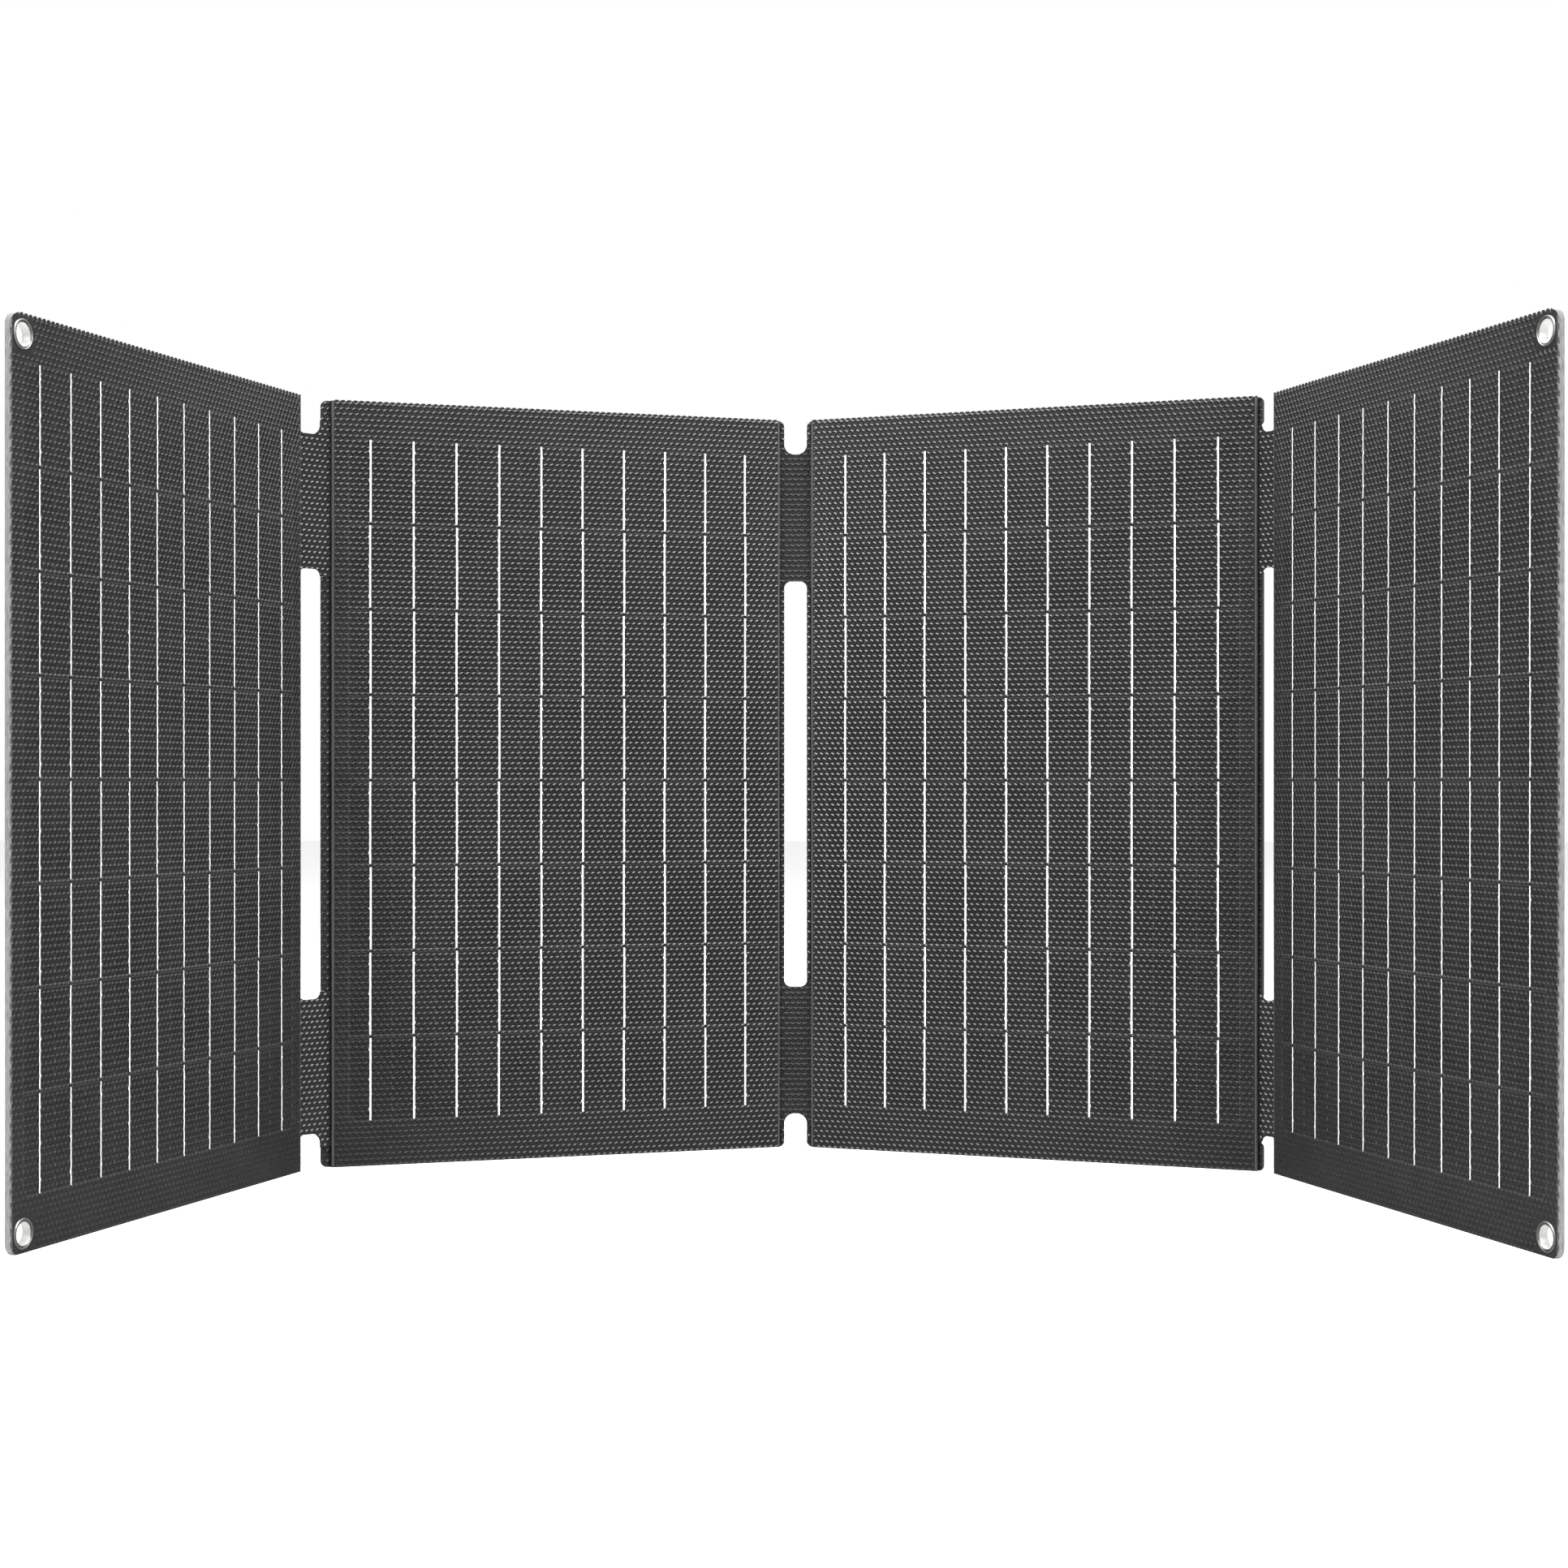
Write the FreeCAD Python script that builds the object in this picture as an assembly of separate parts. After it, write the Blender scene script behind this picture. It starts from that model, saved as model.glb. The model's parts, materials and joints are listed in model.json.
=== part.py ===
"""Folding solar blanket: four rigid solar boards joined by soft fabric webs.

Units are millimetres.  Every panel is drawn in its own frame: x runs along the panel from its
left edge, y runs from the cell face to the back, z runs up from the bottom edge.  The webs use
the same directions, with x = 0 at their left fold line.  The finished pieces are then turned to
the standing pose, and moved so that the origin is the middle of the footprint, on the ground.
"""
import FreeCAD, Part
import os
from math import cos, radians, sin

V = FreeCAD.Vector

# Panels
panel_count = 4
panel_width = 196.0
panel_height = 320.0
outer_corner_radius = 4.0

# Layers of a panel, from the cell face to the back
film_thickness = 0.3
encapsulant_thickness = 0.4
board_thickness = 1.2
fabric_thickness = 0.5
solder_clearance = 0.05

# Solar cells: strips across the panel, stacked up the panel
cell_side_margin = 7.0
cell_spacing = 0.8
cell_thickness = 0.2
cell_corner_cut = 3.4
cell_rows = 8
rows_per_wafer = 4
top_margin = 15.6
bottom_margin = 18.8

# Ribbons: one printed line per busbar on every strip, and a collector at each end of the string
busbar_count = 10
busbar_width = 0.8
busbar_end_gap = 0.2
ribbon_thickness = 0.15
collector_width = 3.0
collector_gap = 3.5

# Folds: the distance between the boards at each fold, and the total angle of each at rest
fold_gap = (17.0, 15.0, 10.0)
fold_rest_deg = (54.0, 38.0, 52.0)
flange_width = 2.5
flange_corner_radius = 2.2
notch_depth = 14.6
web_height = 56.0
web_film_thickness = 0.3
adhesive_thickness = 0.1
web_clearance = 0.35
jumper_width = 6.0
jumper_end_gap = 0.8
jumper_inset = 18.0

# Eyelets at the outer corners
eyelet_edge_distance = 6.75
eyelet_bore_radius = 4.0
eyelet_wall = 0.4
eyelet_lip_radius = 5.4
eyelet_lip_height = 0.5
eyelet_lip_round = 0.2
eyelet_hole_clearance = 0.15

# Output box on the back of the last panel
box_width = 84.0
box_height = 56.0
box_top_distance = 130.0
box_floor = 1.2
box_wall = 1.8
box_corner_radius = 5.0
lid_thickness = 1.6
gasket_thickness = 0.6
gasket_width = 1.0
gasket_squeeze_gap = 0.05
screw_radius = 1.0
screw_head_radius = 1.9
screw_head_height = 0.9
screw_inset = 5.2
screw_post_radius = 2.4
screw_slot_length_share = 1.2
screw_slot_width_share = 0.26
screw_clearance = 0.1
screw_length = 6.0
circuit_thickness = 1.0
circuit_gap = 1.4
circuit_lift = 0.8
feed_tab_width = 1.6
feed_tab_clearance = 0.4
socket_lift = 0.3
socket_headroom = 0.9
fit_clearance = 0.15

# Parts on the circuit board, as width and height, with the thickness of the low ones
coil_size = (8.0, 8.0)
controller_size = (5.0, 5.0, 1.0)
controller_offset = 12.5
diode_size = (6.0, 4.0, 2.4)
diode_offset = 14.0
coil_drop = 14.0
capacitor_count = 3
capacitor_radius = 2.0
capacitor_pitch = 6.0
capacitor_inset = 11.0
capacitor_drop = 24.0
component_headroom = 0.8

# Sockets in the lower wall of the box, as width, height and depth
usb_a_size = (13.2, 5.3, 13.0)
usb_c_size = (9.0, 3.3, 8.0)
dc_size = (9.4, 5.6, 12.0)
socket_wall = 0.3
dc_bore_radius = 2.35
dc_pin_radius = 0.6
tongue_width_share = 0.8
tongue_thickness_share = 0.22
tongue_lift_share = 0.55
tongue_setback = 1.0
socket_pitch = 19.0
lens_radius = 1.5
lens_proud = 0.4
lens_round = 0.32
lens_tail = 1.0

# Rubber cover over the sockets
cover_width = 60.0
cover_thickness = 1.6
cover_gap = 0.2
cover_barrel_radius = 1.3
cover_pin_radius = 0.6
cover_pin_clearance = 0.05
cover_lug_width = 2.4
cover_lug_clearance = 0.2
cover_standoff = 1.9
cover_pull_height = 0.8

# How far a cutting shape runs past what it cuts, and the distance at which two points are one
cut_margin = 1.0
same_point = 1e-6

# Positions that follow from the sizes above
cell_width = panel_width - 2 * cell_side_margin
cell_pitch = (panel_height - top_margin - bottom_margin + cell_spacing) / cell_rows
face_y = -(film_thickness + encapsulant_thickness + board_thickness + fabric_thickness) / 2
film_back_y = face_y + film_thickness
board_face_y = film_back_y + encapsulant_thickness
board_back_y = board_face_y + board_thickness
back_y = board_back_y + fabric_thickness
ribbon_face_y = board_face_y - cell_thickness - ribbon_thickness
web_film_back_y = board_back_y - adhesive_thickness
web_face_y = web_film_back_y - web_film_thickness
pivot_y = (web_face_y + back_y) / 2
pivot_setback = (back_y - web_face_y) / 2 + film_thickness + web_clearance
window_low_z = notch_depth + web_height
window_high_z = panel_height - window_low_z
socket_height = max(usb_a_size[1], usb_c_size[1], dc_size[1])
box_depth = box_floor + socket_lift + socket_height + socket_headroom + lid_thickness
box_centre_x = panel_width / 2
box_centre_z = panel_height - box_top_distance
box_base_y = back_y
box_back_y = box_base_y + box_depth
box_low_z = box_centre_z - box_height / 2
circuit_y = box_base_y + box_floor + circuit_lift
circuit_face_y = circuit_y + circuit_thickness
socket_y = box_base_y + box_floor + socket_lift
cover_axis_y = box_base_y + cover_standoff
cover_axis_z = box_low_z - cover_barrel_radius - cover_gap


def box(x0, x1, y0, y1, z0, z1):
    """A box between two corners."""
    return Part.makeBox(x1 - x0, y1 - y0, z1 - z0, V(x0, y0, z0))


def bar(radius, start, direction, length):
    """A round bar from a start point along a direction."""
    return Part.makeCylinder(radius, length, start, direction)


def through_bar(radius, x, z, y0, y1):
    """A round bar that runs through a panel from y0 to y1."""
    return bar(radius, V(x, y0, z), V(0, 1, 0), y1 - y0)


def corner_edges(shape, corners):
    """The edges of a shape that run along y through the given (x, z) corners."""
    found = []
    for edge in shape.Edges:
        a = edge.Vertexes[0].Point
        b = edge.Vertexes[-1].Point
        if abs(a.x - b.x) > same_point or abs(a.z - b.z) > same_point:
            continue
        if any(abs(a.x - x) < same_point and abs(a.z - z) < same_point for x, z in corners):
            found.append(edge)
    return found


def has_left_fold(number):
    """Whether a panel is joined to a neighbour on its left."""
    return number > 1


def has_right_fold(number):
    """Whether a panel is joined to a neighbour on its right."""
    return number < panel_count


def outer_x(number):
    """The x positions of a panel's free side edges."""
    sides = []
    if not has_left_fold(number):
        sides.append(0.0)
    if not has_right_fold(number):
        sides.append(panel_width)
    return sides


def plate(number, y0, y1, wrap=0.0):
    """A full-size sheet of a panel, with its free corners rounded.

    wrap widens the sheet beyond the board on its fold sides.
    """
    x0 = -wrap if has_left_fold(number) else 0.0
    x1 = panel_width + wrap if has_right_fold(number) else panel_width
    sheet = box(x0, x1, y0, y1, 0, panel_height)
    corners = [(x, z) for x in outer_x(number) for z in (0.0, panel_height)]
    if corners:
        sheet = sheet.makeFillet(outer_corner_radius, corner_edges(sheet, corners))
    return sheet


def eyelet_centres(number):
    """The x and z of each eyelet of a panel."""
    centres = []
    for x in outer_x(number):
        inward = eyelet_edge_distance if x == 0.0 else -eyelet_edge_distance
        for z in (eyelet_edge_distance, panel_height - eyelet_edge_distance):
            centres.append((x + inward, z))
    return centres


def cut_eyelet_holes(shape, number):
    """Open the holes that the eyelet barrels pass through."""
    radius = eyelet_bore_radius + eyelet_wall + eyelet_hole_clearance
    for x, z in eyelet_centres(number):
        shape = shape.cut(through_bar(radius, x, z, face_y - cut_margin, back_y + cut_margin))
    return shape


def notch_radius(fold):
    """The radius of the half-round notch in a web's outer edge."""
    return fold_gap[fold] / 2 - flange_width


def web_outer_z(fold):
    """The height of the upper web's outer edge, beside its notch."""
    return panel_height - notch_depth + notch_radius(fold)


def flange_tabs(number, y0, y1):
    """The strips beside a board's fold edges, above, between and below the webs."""
    sides = []
    if has_left_fold(number):
        sides.append((number - 2, -flange_width, 0.0, -flange_width))
    if has_right_fold(number):
        far_x = panel_width + flange_width
        sides.append((number - 1, panel_width, far_x, far_x))
    tabs = []
    for fold, x0, x1, free_x in sides:
        outer_z = web_outer_z(fold) + web_clearance
        spans = (
            (0.0, panel_height - outer_z),
            (window_low_z + web_clearance, window_high_z - web_clearance),
            (outer_z, panel_height),
        )
        for z0, z1 in spans:
            tab = box(x0, x1, y0, y1, z0, z1)
            corners = [(free_x, z0), (free_x, z1)]
            tabs.append(tab.makeFillet(flange_corner_radius, corner_edges(tab, corners)))
    return tabs


def backing(number):
    """Woven fabric over the whole back, with a flange strip along every fold."""
    sheet = plate(number, board_back_y, back_y)
    sheet = sheet.fuse(flange_tabs(number, board_back_y, back_y)).removeSplitter()
    return cut_feed_holes(cut_eyelet_holes(sheet, number), number)


def board(number):
    """Glass-fibre stiffener board."""
    sheet = plate(number, board_face_y, board_back_y)
    return cut_feed_holes(cut_eyelet_holes(sheet, number), number)


def film(number):
    """Embossed clear front film, folded down over the board's edge at every fold."""
    sheet = plate(number, face_y, film_back_y, film_thickness)
    walls = []
    if has_left_fold(number):
        walls.append(box(-film_thickness, 0, face_y, web_film_back_y, 0, panel_height))
    if has_right_fold(number):
        far_x = panel_width + film_thickness
        walls.append(box(panel_width, far_x, face_y, web_film_back_y, 0, panel_height))
    sheet = sheet.fuse(walls + flange_tabs(number, web_face_y, web_film_back_y)).removeSplitter()
    return cut_eyelet_holes(sheet, number)


def cell_span(row):
    """The lowest and highest z of a cell strip, counted from the top."""
    z1 = panel_height - top_margin - row * cell_pitch
    return z1 - cell_pitch + cell_spacing, z1


def cell_sides():
    """The left and right x of every cell strip."""
    margin = (panel_width - cell_width) / 2
    return margin, panel_width - margin


def cells():
    """The solar cell strips, with the wafer's cut corners on the first and last of each wafer."""
    x0, x1 = cell_sides()
    strips = []
    for row in range(cell_rows):
        z0, z1 = cell_span(row)
        strip = box(x0, x1, board_face_y - cell_thickness, board_face_y, z0, z1)
        corners = []
        if row % rows_per_wafer == 0:
            corners += [(x0, z1), (x1, z1)]
        if row % rows_per_wafer == rows_per_wafer - 1:
            corners += [(x0, z0), (x1, z0)]
        if corners:
            strip = strip.makeChamfer(cell_corner_cut, corner_edges(strip, corners))
        strips.append(strip)
    return Part.makeCompound(strips)


def busbar_x(index):
    """The middle of a busbar, counted from the left."""
    return cell_sides()[0] + (index + 0.5) * cell_width / busbar_count


def collector_outlines(grow):
    """The x and z limits of the collectors above the top strip and below the bottom one."""
    x0 = busbar_x(0) - busbar_width / 2 - grow
    x1 = busbar_x(busbar_count - 1) + busbar_width / 2 + grow
    top = cell_span(0)[1] + collector_gap
    bottom = cell_span(cell_rows - 1)[0] - collector_gap - collector_width
    return [(x0, x1, z - grow, z + collector_width + grow) for z in (top, bottom)]


def ribbons():
    """The busbar lines on every strip, and the two collector ribbons."""
    y1 = ribbon_face_y + ribbon_thickness
    pieces = []
    for row in range(cell_rows):
        z0, z1 = cell_span(row)
        for index in range(busbar_count):
            x = busbar_x(index)
            pieces.append(box(x - busbar_width / 2, x + busbar_width / 2, ribbon_face_y, y1,
                              z0 + busbar_end_gap, z1 - busbar_end_gap))
    for x0, x1, z0, z1 in collector_outlines(0):
        pieces.append(box(x0, x1, board_face_y - ribbon_thickness, board_face_y, z0, z1))
    return Part.makeCompound(pieces)


def encapsulant(number):
    """Clear sheet between film and board, with a window for every strip and collector."""
    sheet = plate(number, film_back_y, board_face_y)
    left, right = cell_sides()
    grow = solder_clearance
    outlines = collector_outlines(grow)
    for row in range(cell_rows):
        z0, z1 = cell_span(row)
        outlines.append((left - grow, right + grow, z0 - grow, z1 + grow))
    pockets = []
    for x0, x1, z0, z1 in outlines:
        pockets.append(box(x0, x1, film_back_y - cut_margin, board_face_y + cut_margin, z0, z1))
    return cut_eyelet_holes(sheet.cut(pockets), number)


def eyelet(x, z):
    """A rolled eyelet: barrel and front lip in one, with its bore open."""
    y0 = face_y - eyelet_lip_height
    lip = through_bar(eyelet_lip_radius, x, z, y0, face_y)
    rims = [e for e in lip.Edges if e.Length > eyelet_lip_radius]
    rims = [e for e in rims if abs(e.CenterOfMass.y - y0) < same_point]
    lip = lip.makeFillet(eyelet_lip_round, rims)
    y1 = back_y + eyelet_lip_height
    barrel = through_bar(eyelet_bore_radius + eyelet_wall, x, z, face_y, y1)
    bore = through_bar(eyelet_bore_radius, x, z, y0 - cut_margin, y1 + cut_margin)
    return lip.fuse(barrel).removeSplitter().cut(bore)


def eyelets(number):
    """The two eyelets of an outer panel."""
    return Part.makeCompound([eyelet(x, z) for x, z in eyelet_centres(number)])


def eyelet_washers(number):
    """The washers that the barrels are closed over, on the back."""
    washers = []
    inner_radius = eyelet_bore_radius + eyelet_wall + solder_clearance
    for x, z in eyelet_centres(number):
        y1 = back_y + eyelet_lip_height
        disc = through_bar(eyelet_lip_radius, x, z, back_y, y1)
        washers.append(disc.cut(through_bar(inner_radius, x, z, back_y - cut_margin, y1 + cut_margin)))
    return Part.makeCompound(washers)


def web_length(fold):
    """The distance between a web's two fold lines."""
    return fold_gap[fold] - 2 * pivot_setback


def web_sheet(fold, y0, y1, upper):
    """One layer of a web: a strip between two fold lines, with a half-round outer notch."""
    length = web_length(fold)
    outer_z = web_outer_z(fold)
    sheet = box(0, length, y0, y1, window_high_z, outer_z)
    notch = through_bar(notch_radius(fold), length / 2, outer_z, y0 - cut_margin, y1 + cut_margin)
    sheet = sheet.cut(notch)
    if upper:
        return sheet
    return sheet.mirror(V(0, 0, panel_height / 2), V(0, 0, 1))


def fold_jumpers(fold):
    """The flat conductors inside the webs: the series link above, the return line below."""
    length = web_length(fold)
    strips = []
    for z in (window_high_z + jumper_inset, window_low_z - jumper_inset):
        strips.append(box(jumper_end_gap, length - jumper_end_gap, web_film_back_y, board_back_y,
                          z - jumper_width / 2, z + jumper_width / 2))
    return Part.makeCompound(strips)


def feed_tab_centres():
    """The x and z of the two conductors from the last panel into the output box."""
    z = box_centre_z + box_height / 4
    offset = box_width / 4
    return ((box_centre_x - offset, z), (box_centre_x + offset, z))


def feed_hole(x, z, y0, y1):
    """The hole that a feed conductor passes through."""
    half = feed_tab_width / 2 + feed_tab_clearance
    return box(x - half, x + half, y0, y1, z - half, z + half)


def cut_feed_holes(shape, number):
    """Open the holes for the conductors into the output box."""
    if number != panel_count:
        return shape
    for x, z in feed_tab_centres():
        shape = shape.cut(feed_hole(x, z, board_face_y - cut_margin, back_y + cut_margin))
    return shape


def output_tabs():
    """The two conductors that pass through the board to the circuit."""
    tabs = []
    half = feed_tab_width / 2
    for x, z in feed_tab_centres():
        tabs.append(box(x - half, x + half, board_face_y, circuit_y, z - half, z + half))
    return Part.makeCompound(tabs)


def box_outline(y0, y1, inset, radius):
    """A rounded rectangular block in line with the output box."""
    x0 = box_centre_x - box_width / 2 + inset
    x1 = box_centre_x + box_width / 2 - inset
    z0 = box_low_z + inset
    z1 = box_low_z + box_height - inset
    block = box(x0, x1, y0, y1, z0, z1)
    corners = [(x, z) for x in (x0, x1) for z in (z0, z1)]
    return block.makeFillet(radius, corner_edges(block, corners))


def screw_centres():
    """The x and z of the lid screws."""
    centres = []
    for sx in (-1, 1):
        for sz in (-1, 1):
            centres.append((box_centre_x + sx * (box_width / 2 - screw_inset),
                            box_centre_z + sz * (box_height / 2 - screw_inset)))
    return centres


def socket_x(index):
    """The middle of a socket, counted from the left: 0, 1 and 2."""
    return box_centre_x + (index - 1) * socket_pitch


def socket_block(index, size, grow, z0, z1):
    """The room that one socket takes in the lower wall."""
    width, height, _ = size
    x = socket_x(index)
    return box(x - width / 2 - grow, x + width / 2 + grow, socket_y - grow,
               socket_y + height + grow, z0, z1)


def lid_face_y():
    """Where the lid meets the base."""
    return box_back_y - lid_thickness


def box_base():
    """The base of the output box: floor, walls, screw posts and cover lugs."""
    rim_y = lid_face_y()
    outer = box_outline(box_base_y, rim_y, 0, box_corner_radius)
    inner_radius = box_corner_radius - box_wall
    inner = box_outline(box_base_y + box_floor, rim_y + cut_margin, box_wall, inner_radius)
    base = outer.cut(inner)
    for x, z in screw_centres():
        base = base.fuse(through_bar(screw_post_radius, x, z, box_base_y + box_floor / 2, rim_y))
    base = base.common(outer)
    for x, z in screw_centres():
        y0 = box_back_y - screw_length - screw_clearance
        base = base.cut(through_bar(screw_radius, x, z, y0, rim_y + cut_margin))
    base = base.cut(gasket_ring(gasket_squeeze_gap))
    for index, size in enumerate((dc_size, usb_a_size, usb_c_size)):
        z0 = box_low_z - cut_margin
        z1 = box_low_z + box_wall + cut_margin
        base = base.cut(socket_block(index, size, fit_clearance, z0, z1))
    y1 = box_base_y + box_floor + cut_margin
    for x, z in feed_tab_centres():
        base = base.cut(feed_hole(x, z, box_base_y - cut_margin, y1))
    return base.fuse(cover_lugs()).removeSplitter()


def cover_lugs():
    """The two lugs that carry the cover's pin."""
    lugs = []
    for side in (-1, 1):
        inner_x = box_centre_x + side * (cover_width / 2 + cover_lug_clearance)
        outer_edge_x = inner_x + side * cover_lug_width
        x0 = min(inner_x, outer_edge_x)
        x1 = max(inner_x, outer_edge_x)
        post = box(x0, x1, box_base_y, cover_axis_y + cover_barrel_radius,
                   cover_axis_z - cover_barrel_radius, box_low_z)
        hole = bar(cover_pin_radius, V(x0 - cut_margin, cover_axis_y, cover_axis_z), V(1, 0, 0),
                   cover_lug_width + 2 * cut_margin)
        lugs.append(post.cut(hole))
    return lugs


def gasket_ring(grow):
    """The closed ring that the gasket fills, in the middle of the base's rim."""
    rim_y = lid_face_y()
    inset = (box_wall - gasket_width) / 2 - grow
    outer = box_outline(rim_y - gasket_thickness - grow, rim_y + grow, inset,
                        box_corner_radius - inset)
    inset += gasket_width + 2 * grow
    inner = box_outline(rim_y - gasket_thickness - cut_margin, rim_y + cut_margin, inset,
                        box_corner_radius - inset)
    return outer.cut(inner)


def lid_gasket():
    """Rubber ring between base and lid."""
    return gasket_ring(0)


def box_lid():
    """The lid, with screw holes, counterbores and the hole for the status light."""
    y0 = lid_face_y() - cut_margin
    y1 = box_back_y + cut_margin
    head_y = box_back_y - screw_head_height
    lid = box_outline(lid_face_y(), box_back_y, 0, box_corner_radius)
    rim = [e for e in lid.Edges if abs(e.CenterOfMass.y - box_back_y) < same_point]
    lid = lid.makeFillet(lid_thickness / 3, rim)
    for x, z in screw_centres():
        lid = lid.cut(through_bar(screw_radius + screw_clearance, x, z, y0, y1))
        lid = lid.cut(through_bar(screw_head_radius + screw_clearance, x, z, head_y, y1))
    x, z = lens_centre()
    return lid.cut(through_bar(lens_radius + screw_clearance, x, z, y0, y1))


def lid_screws():
    """The four lid screws, with a cross slot in each head."""
    screws = []
    for x, z in screw_centres():
        head_y = box_back_y - screw_head_height
        head = through_bar(screw_head_radius, x, z, head_y, box_back_y)
        shank = through_bar(screw_radius, x, z, box_back_y - screw_length, head_y)
        screw = head.fuse(shank).removeSplitter()
        reach = screw_head_radius * screw_slot_length_share / 2
        half = screw_head_radius * screw_slot_width_share / 2
        y0 = box_back_y - screw_head_height / 2
        y1 = box_back_y + cut_margin
        screw = screw.cut(box(x - reach, x + reach, y0, y1, z - half, z + half))
        screw = screw.cut(box(x - half, x + half, y0, y1, z - reach, z + reach))
        screws.append(screw)
    return Part.makeCompound(screws)


def circuit_sides():
    """The x and z limits of the circuit board."""
    inset = box_wall + circuit_gap
    return (box_centre_x - box_width / 2 + inset, box_centre_x + box_width / 2 - inset,
            box_low_z + inset, box_low_z + box_height - inset)


def circuit_board():
    """The circuit board, notched around the screw posts and the sockets."""
    x0, x1, z0, z1 = circuit_sides()
    sheet = box(x0, x1, circuit_y, circuit_face_y, z0, z1)
    radius = screw_post_radius + fit_clearance
    y0 = circuit_y - cut_margin
    y1 = circuit_face_y + cut_margin
    for x, z in screw_centres():
        sheet = sheet.cut(through_bar(radius, x, z, y0, y1))
    for index, size in enumerate((dc_size, usb_a_size, usb_c_size)):
        high_z = box_low_z + size[2] + fit_clearance
        sheet = sheet.cut(socket_block(index, size, fit_clearance, box_low_z, high_z))
    return sheet


def circuit_block(x, z, size, height):
    """A block on the circuit board, around a centre."""
    half_width = size[0] / 2
    half_height = size[1] / 2
    return box(x - half_width, x + half_width, circuit_face_y, circuit_face_y + height,
               z - half_height, z + half_height)


def circuit_parts():
    """The coil, capacitors, blocking diode and controller on the circuit board."""
    x0, x1, _, z1 = circuit_sides()
    middle = (x0 + x1) / 2
    row_z = z1 - coil_drop
    tall = lid_face_y() - component_headroom - circuit_face_y
    pieces = [
        circuit_block(middle, row_z, coil_size, tall),
        circuit_block(middle + controller_offset, row_z, controller_size, controller_size[2]),
        circuit_block(middle - diode_offset, row_z, diode_size, diode_size[2]),
    ]
    for step in range(capacitor_count):
        x = x0 + capacitor_inset + capacitor_pitch * step
        pieces.append(through_bar(capacitor_radius, x, z1 - capacitor_drop, circuit_face_y,
                                  circuit_face_y + tall))
    return Part.makeCompound(pieces)


def socket_shell(index, size):
    """A socket's metal shell with its tongue, open downwards."""
    depth = size[2]
    z0 = box_low_z
    shell = socket_block(index, size, 0, z0, z0 + depth)
    inner = socket_block(index, size, -socket_wall, z0 - cut_margin, z0 + depth - socket_wall)
    shell = shell.cut(inner)
    width = size[0]
    height = size[1]
    x = socket_x(index)
    reach = width * tongue_width_share / 2
    tongue_y = socket_y + height * tongue_lift_share
    tongue = box(x - reach, x + reach, tongue_y, tongue_y + height * tongue_thickness_share,
                 z0 + tongue_setback, z0 + depth - socket_wall)
    return Part.makeCompound([shell, tongue])


def dc_jack():
    """The round power jack: a block with a round bore and a centre pin."""
    depth = dc_size[2]
    z0 = box_low_z
    block = socket_block(0, dc_size, 0, z0, z0 + depth)
    y = socket_y + dc_size[1] / 2
    bore = bar(dc_bore_radius, V(socket_x(0), y, z0 - cut_margin), V(0, 0, 1), depth)
    pin = bar(dc_pin_radius, V(socket_x(0), y, z0 + tongue_setback), V(0, 0, 1),
              depth - cut_margin - tongue_setback)
    return Part.makeCompound([block.cut(bore), pin])


def lens_centre():
    """The x and z of the status light."""
    return box_centre_x + box_width / 4, box_centre_z - box_height / 6


def status_lens():
    """The clear light pipe in the lid."""
    x, z = lens_centre()
    post = through_bar(lens_radius, x, z, lid_face_y() - lens_tail, box_back_y + lens_proud)
    rim = [e for e in post.Edges if abs(e.CenterOfMass.y - box_back_y - lens_proud) < same_point]
    return post.makeFillet(lens_round, rim)


def port_cover():
    """The rubber flap under the sockets, with its hinge barrel and a pull ridge."""
    x0 = box_centre_x - cover_width / 2
    x1 = box_centre_x + cover_width / 2
    top_z = box_low_z - cover_gap
    flap = box(x0, x1, cover_axis_y, box_back_y, top_z - cover_thickness, top_z)
    barrel = bar(cover_barrel_radius, V(x0, cover_axis_y, cover_axis_z), V(1, 0, 0), cover_width)
    ridge = box(box_centre_x - cover_width / 6, box_centre_x + cover_width / 6,
                box_back_y - cover_thickness, box_back_y,
                top_z - cover_thickness - cover_pull_height, top_z - cover_thickness)
    start = V(x0 - cut_margin, cover_axis_y, cover_axis_z)
    hole = bar(cover_pin_radius + cover_pin_clearance, start, V(1, 0, 0), cover_width + 2 * cut_margin)
    return flap.fuse([barrel, ridge]).removeSplitter().cut(hole)


def cover_pin():
    """The steel pin of the cover."""
    half = cover_width / 2 + cover_lug_clearance + cover_lug_width
    start = V(box_centre_x - half, cover_axis_y, cover_axis_z)
    return bar(cover_pin_radius, start, V(1, 0, 0), 2 * half)


def pose_of(x, y, angle):
    """A placement at a plan position, turned about the vertical."""
    return FreeCAD.Placement(V(x, y, 0), FreeCAD.Rotation(V(0, 0, 1), angle))


def along(angle, distance):
    """The plan offset of a distance along a heading."""
    return V(cos(radians(angle)) * distance, sin(radians(angle)) * distance, 0)


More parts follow.
